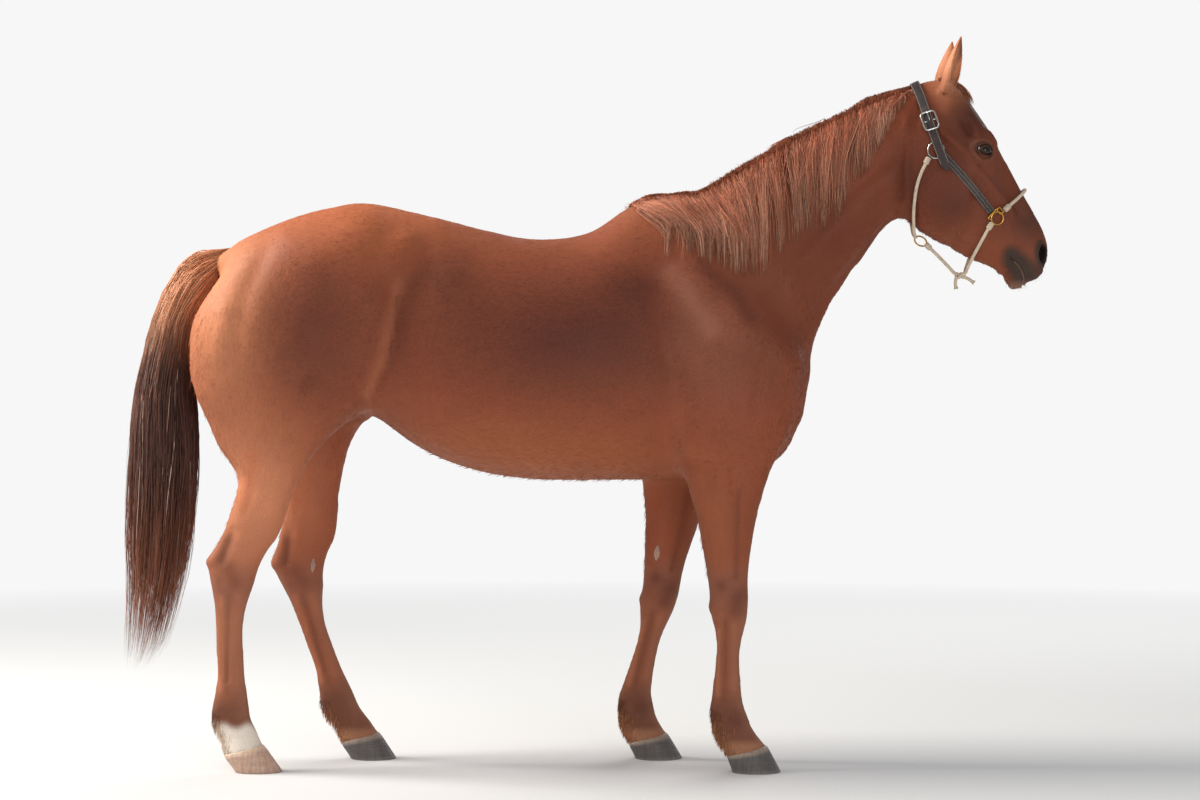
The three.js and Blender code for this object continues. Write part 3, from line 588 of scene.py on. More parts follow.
# The halter's lines on the right of the head, in millimetres, as in the solids. The left side mirrors them.
HEAD_LINE = np.array([1000, 0, 1600])
CROWN = [(968, -92.5, 1600), (958, -93.5, 1626), (948, -92, 1652), (938, -88.5, 1680), (929, -82, 1708),
         (921, -74, 1735), (913, -67.5, 1759), (905, -58.5, 1785), (897, -45, 1811), (890, -26, 1832)]
CROWN_TOP = (888, 0, 1843)
CHEEK = [(957, -84.5, 1644), (962, -86, 1638), (985, -90.8, 1612), (1010, -95.6, 1583), (1035, -97.6, 1553),
         (1060, -90.6, 1523), (1084, -79.5, 1494), (1088, -77.5, 1489)]
SILVER_RING = (938, -81.5, 1656)
SILVER_RING_NORMAL = (-0.214, -0.976, 0.044)
BUCKLE = (921.3, -83, 1735)
BUCKLE_NORMAL, BUCKLE_ALONG = (-0.085, -0.961, 0.265), (-0.3, 0, 0.95)
SQUARE = (1103, -75, 1474)
SQUARE_NORMAL, SQUARE_ALONG = (0.263, -0.957, -0.115), (0.68, 0, 0.73)
THROAT_RING = (906, 0, 1416)
THROAT_RING_NORMAL, THROAT_RING_ALONG = (0.44, 0.6, 0.67), (0.83, 0, -0.55)
NOSE_ROPE = [(1122, -76, 1495), (1136, -73, 1508), (1154, -64, 1523), (1171, -48, 1538), (1183, -26, 1550)]
NOSE_TOP = (1187, 0, 1554)
CHIN_ROPE = [(1089, -77.5, 1461), (1086, -78.5, 1457), (1078, -75.5, 1444), (1067, -69, 1423),
             (1057, -59, 1403), (1047, -46, 1382), (1038, -31, 1361), (1030, -17, 1342), (1026, -8, 1330),
             (1021, -3, 1324)]
THROAT_ROPE = [(919, -81, 1637), (911, -78, 1620), (899, -73, 1594), (890, -67, 1565), (885, -59, 1535),
               (883, -50, 1506), (883, -38, 1478), (885, -24, 1453), (888, -11, 1434), (893, -4, 1425)]
JAW_ROPE = [(919, 0, 1409), (925, 0, 1403), (945, 0, 1384), (965, 0, 1364), (983, 0, 1345), (996, 0, 1331),
            (1003, 0, 1326)]
CHIN_KNOT = np.array([1013, 0, 1323])
LOOSE_ENDS = [[(1003, 0, 1320), (1000, -2, 1302), (1002, -4, 1287)],
              [(1022, 0, 1320), (1036, -5, 1313), (1050, -8, 1303)]]
WRAP_LENGTH = 20 * MM
ROPE_STEP = 0.9  # between the rings of a rope, in millimetres
STRAP_STEP = 1.6
CROWN_STRAP, CHEEK_STRAP = (26, 3.4), (21, 3.2)  # width and thickness
WIRE = 2.25  # half the thickness of the rings
MIRROR = (("right", 1), ("left", -1))  # the lines as they stand for the right, mirrored for the left

CREAM, LEATHER = srgb(226, 207, 182), srgb(52, 40, 37)
BRASS, BRASS_WORN = srgb(222, 172, 84), srgb(190, 136, 60)
NICKEL, NICKEL_WORN = srgb(214, 216, 212), srgb(176, 178, 174)


def both(points, way):
    """Points for the right side, or their mirror image where way is -1."""
    return np.asarray(points, float) * (1, way, 1)


def braid(angle, run):
    """The surface of a braided rope."""
    strand = np.abs(np.sin(2 * angle + run / (1.9 * MM))) + np.abs(np.sin(2 * angle - run / (1.9 * MM)))
    return 4.0 * MM + 0.36 * MM * strand


def whipping(angle, run):
    """Turns of rope wrapped round a rope's end, drawn in at both ends."""
    turns = np.abs(np.sin(run / (5.6 * MM) * math.pi + angle / 2)) ** 0.7
    end = np.minimum(run, WRAP_LENGTH - run)
    return 4.4 * MM + (2.3 * MM + 1.6 * MM * turns) * smooth(-2 * MM, 3 * MM, end)


def plain_piece(name, parts, colour, material, replaces=()):
    """A piece of one colour from closed parts."""
    return piece(name, new_mesh(name, *joined(parts)), colour, material, replaces)


def build_rope(name, points, wraps, material):
    """A braided rope with whipped ends."""
    path = line_through(points, ROPE_STEP)
    for letter in wraps:
        part = path if letter == "a" else path[::-1]
        part = part[run_of(part) <= WRAP_LENGTH]
        plain_piece(f"{name}_whip_{letter}", [tube(part, whipping, 20)], CREAM * 0.95,
                                   material, [f"{name}_wrap_{letter}"])
    made = plain_piece(f"{name}_braid", [tube(path, braid)], CREAM, material, [name])


def build_knot(material):
    """The knot under the chin, a turn of rope pulled tight, and its two cut ends."""
    t = tau * np.arange(90) / 90
    loop = np.stack([5.0 * (np.sin(t) + 1.45 * np.sin(2 * t)), 3.6 * (np.cos(t) - 1.45 * np.cos(2 * t)),
                     -5.2 * np.sin(3 * t)], 1)
    path = np.concatenate([loop, loop[:1]]) * MM + CHIN_KNOT * MM
    parts = [tube(path, lambda angle, run: 0.92 * braid(angle, run))]
    for end in LOOSE_ENDS:
        line = line_through(end, ROPE_STEP)
        last = run_of(line)[-1]

        def frayed(angle, run):
            flare = 1 + 0.35 * smooth(last - 7 * MM, last, run)
            threads = 1 + 0.12 * np.sin(9 * angle) * smooth(last - 8 * MM, last - 2 * MM, run)
            return braid(angle, run) * flare * threads

        parts.append(tube(line, frayed))
    return plain_piece("halter_chin_turns", parts, CREAM, material, ["halter_chin_knot"])


def strap_frame(path):
    along = unit(np.gradient(path, axis=0))
    across = unit(np.cross(path - HEAD_LINE * MM, along))
    return along, across, np.cross(along, across)


def strap(path, width, thickness, rows, points=(0, 0)):
    """A crowned strap with grooves for its rows of stitches, and pointed ends of given lengths."""
    along, across, out = strap_frame(path)
    run = run_of(path)
    taper = np.ones(len(path))
    for length, away in zip(points, (run, run[-1] - run)):
        if length:
            taper = np.minimum(taper, 0.1 + 0.9 * np.clip(away / (length * MM), 0, 1) ** 0.7)
    u = np.linspace(-1, 1, 41)
    top = 0.5 + 0.12 * (1 - u**2) - 0.75 * np.clip(np.abs(u) - 0.93, 0, 1) / 0.07
    for row in rows:
        top -= 0.16 * np.exp(-((u - row) / 0.06) ** 2)
    under = np.full(9, -0.5)
    under[[0, -1]] = -0.25
    profile = np.concatenate([np.stack([u, top], 1), np.stack([np.linspace(1, -1, 9), under], 1)])
    rings = (path[:, None] + across[:, None] * (profile[:, :1] * taper[:, None, None] * width / 2 * MM)
             + out[:, None] * (profile[:, 1:] * thickness * MM))
    edge = np.tile(smooth(0.86, 0.99, np.abs(profile[:, 0])), len(path))
    shade = LEATHER * (1 + 1.1 * np.concatenate([edge, [0, 0]]))[:, None]
    return outward(over_rings(rings)), shade


def stitches(path, width, thickness, row, pitch=5.0, ends=5.0):
    """A row of single stitches standing in a groove of a strap."""
    along, across, out = strap_frame(path)
    run = run_of(path) / MM
    box = np.array([(end, side, up) for end, wide, low, high in (
        (-1.7, 0.45, -0.2, 0.1), (-0.9, 0.55, 0, 0.75), (0.9, 0.55, 0, 0.75), (1.7, 0.45, -0.2, 0.1))
        for side, up in ((-wide, low), (wide, low), (0, high))])
    sides = [(3 * k + i, 3 * k + (i + 1) % 3, 3 * k + 3 + (i + 1) % 3, 3 * k + 3 + i) for k in range(3)
             for i in range(3)]
    parts = []
    for at in np.arange(ends, run[-1] - ends, pitch):
        middle, ahead, side, up = (np.array(between(at, run, v)) for v in (path, along, across, out))
        middle = middle + side * row * width / 2 * MM + up * thickness * 0.48 * MM
        points = middle + (box[:, :1] * ahead + box[:, 1:2] * side + box[:, 2:] * up) * MM
        parts.append(outward((points, [np.array(sides), np.array([(2, 1, 0), (9, 10, 11)])])))
    return parts


def lifted(path, centre, heights):
    """A strap's line raised off the head near a place, by heights at distances along it, in millimetres."""
    _, _, out = strap_frame(path)
    run = run_of(path)
    at = run[np.linalg.norm(path - np.asarray(centre) * MM, axis=1).argmin()]
    distance, rise = np.array(heights, float).T * MM
    return path + out * np.interp(np.abs(run - at), distance, rise)[:, None]


def build_straps(material, thread):
    """The crown strap over the poll, the cheek straps and their stitching."""
    sewn = []

    def strap_piece(name, stands_for, bodies, path, size, rows, ends):
        """A strap from its shaded bodies, and the stitches along its rows."""
        parts, shades = zip(*bodies)
        mesh = new_mesh(name, *joined(parts))
        piece(name, mesh, np.concatenate(shades), material, [stands_for])
        for row in rows:
            sewn.extend(stitches(path, *size, row, ends=ends))

    path = line_through([*CROWN, CROWN_TOP, *both(CROWN, -1)[::-1].tolist()], STRAP_STEP)
    for _, way in MIRROR:
        path = lifted(path, both(CROWN[5], way), [(0, 8.6), (12, 7.4), (25, 3.9), (40, 0.6), (52, 0)])
    rows = (-0.8, 0.8)
    strap_piece("halter_crown", "halter_crown_strap", [strap(path, *CROWN_STRAP, rows, (20, 20))], path,
                CROWN_STRAP, rows, 24)
    rows = (-0.8, 0, 0.8)
    for side, way in MIRROR:
        path = line_through(both(CHEEK, way), STRAP_STEP)
        under = line_through(both(CROWN[2:6], way) - (0, -4 * way, 0), STRAP_STEP)
        bodies = [strap(path, *CHEEK_STRAP, rows), strap(under, *CHEEK_STRAP, ())]
        strap_piece(f"halter_cheek_{side}", f"halter_cheek_strap_{side}", bodies, path, CHEEK_STRAP, rows, 5)
    plain_piece("halter_stitching", sewn, srgb(214, 200, 184), thread)


def build_holes(material):
    """Punched holes in the crown strap's billets: near-black discs of painted shade with a pressed rim."""
    parts = []
    for _, way in MIRROR:
        path = line_through(both(CROWN[:6], way), STRAP_STEP)
        _, _, out = strap_frame(path)
        run = run_of(path) / MM
        for at in (34, 56, 78):
            i = np.abs(run - at).argmin()
            place, normal = path[i] / MM, out[i]
            rim = laid(circle(2.4, 18), place + normal * 2.0, normal, (0, 0, 1))
            parts.append(hoop(rim, normal, 0.5 * MM, 8))
            disc = laid(circle(2.2, 18), place + normal * 1.95, normal, (0, 0, 1))
            parts.append(outward(over_rings([disc, disc - normal * 0.6 * MM])))
    # near-black discs: painted shade in the holes
    plain_piece("halter_holes", parts, srgb(20, 15, 13), material)


def wire_bar(start, end, place, normal, along, radius):
    """A straight round bar with domed ends, between two laid points."""
    line = laid([start, end], place, normal, along)
    path = line[0] + (line[1] - line[0]) * np.linspace(0, 1, 16)[:, None]
    last = run_of(path)[-1]

    def domed(angle, run):
        inset = 1 - np.minimum(run, last - run) / (radius * MM)
        return radius * MM * np.sqrt(np.clip(1 - np.clip(inset, 0, 1) ** 2, 0.05, 1))

    return tube(path, domed, 14)


def build_metal(nickel, brass):
    """Rings, buckles and cheek fittings."""
    for side, way in MIRROR:
        place, normal = both(SILVER_RING, way), both(SILVER_RING_NORMAL, way)
        ring = hoop(laid(circle(22), place, normal, (1, 0, 0)), normal, WIRE * MM)
        plain_piece(f"halter_side_ring_{side}", [ring], NICKEL, nickel, [f"halter_ring_{side}"])

        at = both(BUCKLE, way), both(BUCKLE_NORMAL, way), BUCKLE_ALONG
        tongue = laid([(0, 0, 0.6), (4, 0, 3.4), (14, 0, 4.2), (22, 0, 3.6), (26, 0, 2.2)], *at)
        parts = [hoop(laid(rounded(50, 39, 9), *at), at[1], 2.7 * MM),
                 wire_bar((0, -18.5, -2.2), (0, 18.5, -2.2), *at, 1.9),
                 tube(line_through(tongue / MM, 0.8), lambda angle, run: 1.5 * MM + 0 * run, 12)]
        plain_piece(f"halter_buckle_frame_{side}", parts, NICKEL, nickel, [f"halter_buckle_{side}"])

        # the mirrored fitting's own v axis points the other way, so way turns v
        at = both(SQUARE, way), both(SQUARE_NORMAL, way), SQUARE_ALONG
        parts = [hoop(laid(circle(17.2), *at), at[1], 2.4 * MM),
                 wire_bar((-20, 19.5 * way, 0), (19, 19.5 * way, 0), *at, 2.2),
                 wire_bar((-18, 19.5 * way, 0), (-14, 9 * way, 0), *at, 2),
                 hoop(laid(np.array(rounded(11, 17, 2.5)) + (20, 8 * way), *at), at[1], 1.9 * MM)]
        plain_piece(f"halter_fitting_{side}", parts, BRASS, brass, [f"halter_square_{side}"])
    loop = laid(circle(17.5), THROAT_RING, THROAT_RING_NORMAL, THROAT_RING_ALONG)
    plain_piece("halter_throat_loop", [hoop(loop, THROAT_RING_NORMAL, WIRE * MM)], BRASS, brass,
                ["halter_throat_ring"])


def build_halter():
    rope = rope_material()
    knot = build_knot(rope)
    for side, way in MIRROR:
        build_rope(f"halter_chin_rope_{side}", both(CHIN_ROPE, way), "a", rope)
        build_rope(f"halter_throat_rope_{side}", both(THROAT_ROPE, way), "a", rope)
    nose = [*NOSE_ROPE, NOSE_TOP, *both(NOSE_ROPE, -1)[::-1].tolist()]
    build_rope("halter_nose_rope", nose, "ab", rope)
    build_rope("halter_jaw_rope", JAW_ROPE, "a", rope)
    leather = leather_material()
    build_straps(leather, rope)
    build_holes(leather)
    build_metal(metal_material("nickel", NICKEL, NICKEL_WORN), metal_material("brass", BRASS, BRASS_WORN))


# ---------- the skin's mesh ----------

# The skin is remeshed in a stretched space, so that the head and the lower legs get finer faces.
NECK_ROOT = np.array([0.3, 0, 1.2])
NECK_WAY = unit([0.78, 0, 0.42])
HEAD_STRETCH = 2.6
LEG_STRETCH = 2.0
LEG_TOP = 0.74
FINE_FROM, FINE_TO = 0.28, 0.62
VOXEL = 14.3 * MM
EASE, JUNCTION_EASE, EASE_ROUNDS = 0.12, 0.5, 34  # how much the surface is smoothed
DEPTHS = np.linspace(0, 1.4, 1401)


def stretch_table(scale):
    """The scale at each depth, and where that depth lands in the stretched space."""
    return scale, np.concatenate([[0], np.cumsum((scale[1:] + scale[:-1]) / 2) * (DEPTHS[1] - DEPTHS[0])])


HEAD_TABLE = stretch_table(1 + (HEAD_STRETCH - 1) * smooth(FINE_FROM, FINE_TO, DEPTHS))
LEG_TABLE = stretch_table(1 + (LEG_STRETCH - 1) * smooth(0, 0.24, DEPTHS))


def looked_up(depth, table, back):
    """Where depths land and the scale there, into the stretched space or back out of it."""
    scale, place = table
    if back:
        real = np.interp(depth, place, DEPTHS)
        return real, 1 / np.interp(real, DEPTHS, scale)[:, None]
    return np.interp(depth, DEPTHS, place), np.interp(depth, DEPTHS, scale)[:, None]


def leg_centres(points):
    """The x and y about which each point's leg is stretched."""
    front, left = points[:, 0] > -0.3, points[:, 1] > 0
    x = np.where(front, np.where(left, 0.2, 0.39), np.where(left, -0.72, -0.88))
    return np.stack([x, np.where(left, 0.14, -0.14)], 1)


def stretched(points, back=False):
    """Points taken into the stretched space, or back out of it."""
    points = np.array(points, float)
    along = (points - NECK_ROOT) @ NECK_WAY
    ahead = along > FINE_FROM
    off = points[ahead] - NECK_ROOT - along[ahead, None] * NECK_WAY
    place, scale = looked_up(along[ahead], HEAD_TABLE, back)
    points[ahead] = NECK_ROOT + place[:, None] * NECK_WAY + off * scale
    low = (points[:, 2] < LEG_TOP) & ~ahead
    place, scale = looked_up(LEG_TOP - points[low, 2], LEG_TABLE, back)
    centres = leg_centres(points[low])
    points[low, :2] = centres + (points[low, :2] - centres) * scale
    points[low, 2] = LEG_TOP - place
    return points


def eased(points, edges, weight, rounds):
    """Laplacian smoothing, undone in part after each round where the weight is low."""
    a, b = edges[:, 0], edges[:, 1]
    count = np.bincount(edges.ravel(), minlength=len(points))[:, None].clip(1)
    for _ in range(rounds):
        total = np.stack([np.bincount(a, column[b], len(points)) + np.bincount(b, column[a], len(points))
                          for column in points.T], 1)
        points = points + (total / count - points) * weight[:, None]
    return points


# Places where two parts of the body flow into each other: centre, reach in metres, strength.
JUNCTIONS = [
    ((0.44, 1.10), 0.26, 1), ((0.30, 0.84), 0.14, 1), ((0.42, 0.84), 0.12, 0.8), ((0.20, 0.84), 0.10, 1),
    ((0.24, 1.50), 0.16, 1), ((0.52, 1.02), 0.14, 1), ((-0.60, 1.02), 0.22, 1), ((-0.95, 1.30), 0.16, 1),
    ((-0.92, 1.05), 0.14, 0.8), ((-0.55, 1.28), 0.20, 0.8), ((0.88, 1.55), 0.10, 0.9),
    ((0.90, 1.80), 0.06, 0.7), ((0.86, 1.46), 0.06, 1), ((-0.75, 1.35), 0.26, 0.9),
]


def remeshed(points, faces):
    """One closed surface round everything, with even faces in the stretched space."""
    made = linked("blank", new_mesh("blank", stretched(points), faces))
    modifier = made.modifiers.new("voxels", "REMESH")
    modifier.mode = "VOXEL"
    modifier.voxel_size = VOXEL
    modifier.adaptivity = 0
    surface = bpy.data.meshes.new_from_object(made.evaluated_get(bpy.context.evaluated_depsgraph_get()))
    bpy.data.objects.remove(made)
    places = points_of(surface)
    real = stretched(places, back=True)
    weight = np.full(len(places), EASE)
    for (x, z), reach, strength in JUNCTIONS:
        away = np.hypot(real[:, 0] - x, real[:, 2] - z) / reach
        weight = np.maximum(weight, JUNCTION_EASE * strength * np.clip(1.6 - 1.6 * away, 0, 1))
    move_points(surface, stretched(eased(places, edges_of(surface), weight, EASE_ROUNDS), back=True))
    return surface


def refined(mesh, near):
    """Splits the faces for which near(points) is true once more."""
    work = bmesh.new()
    work.from_mesh(mesh)
    inside = near(points_of(mesh))
    edges = [e for e in work.edges if inside[e.verts[0].index] and inside[e.verts[1].index]]
    bmesh.ops.subdivide_edges(work, edges=edges, cuts=1, use_grid_fill=True)
    bmesh.ops.triangulate(work, faces=[f for f in work.faces if len(f.verts) > 4])
    work.to_mesh(mesh)
    work.free()
    mesh.update()


def to_path(points, path):
    """The distance of points to a line of straight pieces, in as many dimensions as the path has."""
    path = np.asarray(path, float)
    nearest = np.full(len(points), np.inf)
    if len(path) == 1:
        return np.linalg.norm(points - path[0], axis=1)
    for start, end in zip(path[:-1], path[1:]):
        way = end - start
        f = np.clip((points - start) @ way / (way @ way), 0, 1)
        nearest = np.minimum(nearest, np.linalg.norm(points - start - f[:, None] * way, axis=1))
    return nearest


EYE = {side: np.array([1.066, sign * 0.081, 1.655]) for side, sign in SIDES.items()}
EYE_RADIUS = 21.5 * MM
LID_WIDE, LID_TALL = 23.5, 13.5  # half the width and height of the opening
LIPS = [(1144, 1369), (1163, 1350), (1175, 1329), (1180, 1312), (1176, 1298)]
NOSTRIL = [(1224, 1408), (1219, 1396), (1218, 1381), (1222, 1366), (1229, 1352), (1236, 1344)]


def near_eye(points, reach):
    return np.min([np.linalg.norm(points - EYE[side], axis=1) for side in EYE], 0) < reach


def near_mouth(points, reach):
    flat = side_view(points)
    away = np.minimum(to_path(flat, LIPS), to_path(flat, NOSTRIL + [(1244, 1380)]))
    return (away < reach / MM) & (points[:, 0] > 1.0)


# Forms of flesh over the lofts. A stroke is a line on one view of the horse with its width and height, in
# millimetres: "side" lines are (x, z), "front" and "rear" lines (y, z), and "top" lines (x, y).
STROKES = {
    "side": [
        # shoulder and breast
        ([(330, 1500), (440, 1330), (540, 1185)], 42, -5), ([(400, 1480), (520, 1330), (600, 1235)], 24, 3.5),
        ([(255, 834), (330, 816), (405, 826)], 15, -4), ([(376, 796), (372, 745)], 14, -4),
        ([(265, 1440), (330, 1300), (420, 1180)], 30, 4), ([(520, 1120), (545, 1080)], 42, 7),
        ([(330, 1060), (300, 980)], 70, 7), ([(185, 1300), (215, 1120), (262, 975), (262, 905)], 24, -6),
        ([(455, 1110), (430, 1010), (410, 930)], 26, -5), ([(252, 890), (262, 868)], 26, 8),
        ([(222, 1010), (218, 900), (232, 810)], 30, -5), ([(480, 1040), (480, 960)], 40, 5),
        # barrel and flank
        ([(-440, 1345), (-455, 1290)], 62, -8),
        ([(-498, 1262), (-503, 1176), (-528, 1081), (-576, 987)], 20, -7),
        ([(-470, 1395), (-480, 1370)], 40, 9), ([(-40, 830), (-240, 845), (-400, 900)], 50, 3),
        # quarters
        ([(-640, 1420), (-760, 1390)], 90, 7), ([(-565, 1240), (-610, 1120), (-655, 1010)], 50, 6),
        ([(-835, 1400), (-885, 1280), (-915, 1150), (-905, 1020), (-880, 930)], 25, -3.5),
        ([(-690, 1330), (-720, 1200), (-760, 1050)], 60, 4), ([(-710, 1010), (-700, 960)], 34, 6),
        ([(-735, 1050), (-790, 965), (-800, 880)], 22, -5), ([(-945, 1220), (-955, 1110)], 34, 5),
        # neck
        ([(585, 1180), (660, 1270), (740, 1365), (810, 1440), (850, 1500)], 15, -5),
        ([(500, 1290), (600, 1420), (720, 1550), (830, 1650)], 20, -3),
        ([(560, 1330), (700, 1480), (820, 1590)], 36, 4), ([(300, 1490), (420, 1530), (560, 1620)], 30, -4),
        ([(872, 1718), (878, 1690)], 26, 6),
        ([(895, 1780), (872, 1700), (862, 1600), (868, 1520), (885, 1465)], 15, -6),
        # head
        ([(945, 1560), (960, 1520)], 62, 4),
        ([(1050, 1590), (1040, 1520), (1010, 1440), (985, 1405)], 12, -3),
        ([(1046, 1606), (1085, 1566), (1128, 1516), (1150, 1488)], 8, 5.5),
        ([(1032, 1640), (1000, 1668), (955, 1705), (930, 1745)], 13, 5),
        ([(1020, 1726), (1030, 1706)], 16, -9), ([(1108, 1640), (1122, 1612)], 15, -3.5),
        ([(1010, 1560), (985, 1500)], 34, 3), ([(1118, 1590), (1150, 1530), (1178, 1478)], 18, -4),
        ([(1100, 1350), (1040, 1372), (985, 1402), (925, 1440), (890, 1465)], 11, 4),
        ([(1110, 1400), (1060, 1430)], 22, -3), ([(985, 1790), (975, 1760)], 26, 4),
        ([(1000, 1450), (1030, 1500), (1070, 1545), (1100, 1600)], 4, 1.4),
        ([(1092, 1545), (1125, 1500), (1150, 1440)], 4, 1.3), ([(1128, 1330), (1118, 1318)], 12, -4),
        ([(1155, 1298), (1168, 1292)], 14, 4), ([(1195, 1340), (1215, 1325)], 20, 3),
        ([(1190, 1420), (1200, 1385)], 22, 2),
    ],
    "front": [
        ([(0, 1240), (0, 1090), (0, 950), (0, 860)], 26, -10), ([(75, 1050), (90, 960)], 48, 8),
        ([(0, 1330), (0, 1250)], 22, -4), ([(60, 1700), (54, 1684)], 17, 5), ([(0, 1800), (0, 1720)], 26, 3),
        ([(34, 1620), (28, 1500)], 13, 2),
    ],
    "rear": [
        ([(0, 1300), (0, 1150), (0, 1000), (0, 900)], 20, -22), ([(95, 1230), (105, 1080)], 52, 6),
    ],
    "top": [
        ([(-700, 0), (-500, 0), (-250, 0)], 18, -4), ([(-620, 75), (-450, 62), (-250, 55)], 40, 3),
    ],
}

# Forms of the lower legs: lines of (level, ahead), width, height, and "out" or "in" for one side only.
LEG_STROKES = {
    "fore": [
        ([(1.05, 60), (1.3, 45), (1.6, 32)], 14, 4), ([(1.1, 10), (1.4, 6), (1.8, 0)], 8, -4, "out"),
        ([(1.1, -50), (1.4, -38), (1.7, -28)], 9, -3, "out"), ([(1.95, 30)], 22, 3), ([(2.04, -44)], 15, 5),
        ([(1.9, -30)], 10, -4), ([(2.0, -8)], 8, -2.5, "out"), ([(2.2, -10), (2.5, -10), (2.8, -14)], 6, -5),
        ([(2.3, -24), (2.8, -30)], 5, -3), ([(2.98, -36)], 14, 4), ([(3.1, -16), (3.3, -18)], 8, -2.5),
        ([(3.5, 0), (3.75, 0)], 14, 1.5),
    ],
    "hind": [
        ([(3.62, -44), (3.90, -42)], 17, -9), ([(3.1, -30), (3.4, -28)], 10, -3),
        ([(2.6, 20), (3.1, 15), (3.6, 20)], 9, -3, "out"), ([(3.95, -74)], 13, 4),
        ([(3.98, 24)], 20, 4, "in"), ([(4.05, 16)], 16, 2.5, "out"), ([(4.1, -30)], 9, -3),
        ([(4.25, -14), (4.5, -14), (4.78, -12)], 6, -5), ([(4.3, -30), (4.75, -28)], 5, -3),
        ([(4.98, -38)], 14, 4), ([(5.1, -16), (5.3, -18)], 8, -2.5), ([(5.5, 0), (5.75, 0)], 14, 1.5),
        ([(2.7, 30), (3.2, 34), (3.7, 40)], 4, 1.8, "in"),
    ],
}


RELIEF, LEG_RELIEF = 1.85, 1.1  # how strongly the forms of the body and of the lower legs stand out


def leg_lines(points, tables):
    """For each leg and row of its table: the leg's points, the sign of its side, how near the points are to
    the row's line, that line, and the rest of the row."""
    for leg in LEGS:
        fore, left = leg.startswith("fore"), leg.endswith("left")
        x, y, z = points.T
        mine = np.flatnonzero((z < 0.98) & ((x > 0) == fore) & ((y > 0) == left))
        flat = side_view(points[mine])
        for path, width, *rest in tables[leg[:4]]:
            line = [on_leg(leg, level)[[0, 2]] + (ahead, 0) for level, ahead in path]
            yield mine, 1 if left else -1, np.exp(-(to_path(flat, line) / width) ** 2), path, rest


# Views of the horse: the axes of a line, what mirrors it, and the way from the horse to the viewer.
VIEWS = {"side": ([0, 2], (1, 1), (0, 1, 0)), "front": ([1, 2], (-1, 1), (1, 0, 0)),
         "rear": ([1, 2], (-1, 1), (-1, 0, 0)), "top": ([0, 1], (1, -1), (0, 0, 1))}


def sculpted(points, normals):
    """How far the flesh stands out from the lofts at each point. A stroke off the middle has its mirror
    image, and fades out where the surface turns away from its view."""
    rise = np.zeros(len(points))
    high = points[:, 2] > 0.72
    for view, rows in STROKES.items():
        axes, mirror, way = VIEWS[view]
        turned = normals @ np.array(way, float)
        facing = smooth(0.05, 0.5, np.abs(turned) if view == "side" else turned)
        for path, width, height in rows:
            lines = [np.array(path, float), np.array(path, float) * mirror]
            for line in lines[:1 if (lines[0] == lines[1]).all() else 2]:
                away = to_path(points[:, axes] / MM, line) / width
                rise += RELIEF * height * MM * np.exp(-away**2) * facing * high
    for mine, sign, near, path, (height, *sides) in leg_lines(points, LEG_STROKES):
        out = normals[mine, 1] * sign
        gate = smooth(0, 0.5, out if sides == ["out"] else -out) if sides else 1
        edge_on = smooth(0.03, 0.35, np.abs(out)) if abs(path[0][1]) < 26 else 1
        rise[mine] += LEG_RELIEF * height * MM * near * gate * edge_on
    return rise


def eye_frame(side):
    """The opening of an eye: centre, forward along the lids, up across them, and outward."""
    sign = SIDES[side]
    outward = unit([0.24, sign * 0.96, 0.1])
    forward = unit(np.array([0.98, 0, -0.17]) - outward * (outward @ [0.98, 0, -0.17]))
    return EYE[side], forward, unit(np.cross(forward, outward)) * (-sign), outward


def with_lids(points, side):
    """The flesh round an eye: lids over the ball, open in an almond, with a brow and a crease."""
    centre, forward, up, outward = eye_frame(side)
    near = np.flatnonzero(np.linalg.norm(points - centre, axis=1) < 60 * MM)
    off = points[near] - centre
    u, v, depth = (off @ axis / MM for axis in (forward, up, outward))
    front = depth > -14
    wide = np.abs(u)
    corner = np.clip(wide / LID_WIDE, 0, 1.4)
    top = LID_TALL * np.clip(1 - corner ** 2.1, 0, 1) + 0.5
    bottom = -LID_TALL * np.clip(1 - corner ** 2.0, 0, 1) - 0.5
    inside = np.minimum(top - v, v - bottom)
    inside = np.where(wide > 23, 23 - wide, np.minimum(inside, (LID_WIDE - wide) * 1.2))
    ball = np.sqrt(np.clip((EYE_RADIUS / MM + 2.2) ** 2 - u**2 - v**2, 0, None))
    lid = np.where(ball > 0, ball, -3)
    away = np.hypot(u, v * 1.15)
    hug = smooth(46, 21, away) * front
    target = lerp(depth, np.maximum(lid, depth - 3), hug * (ball > 4))
    # the rims of the lids, the crease over the upper one and the brow: height, place, width, reach along u
    above, below = v - top, bottom - v
    for height, from_lid, middle, spread, far, close in (
            (2.6, above, 3.0, 2.6, 27, 18), (1.3, below, 2.6, 2.4, 26, 17),
            (-2.2, above, 8.5, 2.2, 28, 16), (3.0, above, 15, 6, 38, 20)):
        target += height * np.exp(-((from_lid - middle) / spread) ** 2) * smooth(far, close, wide) * front
    target = lerp(target, 2.0, smooth(-0.6, 1.6, inside) * front)
    points[near] += outward * ((target - depth) * MM)[:, None]
    return points


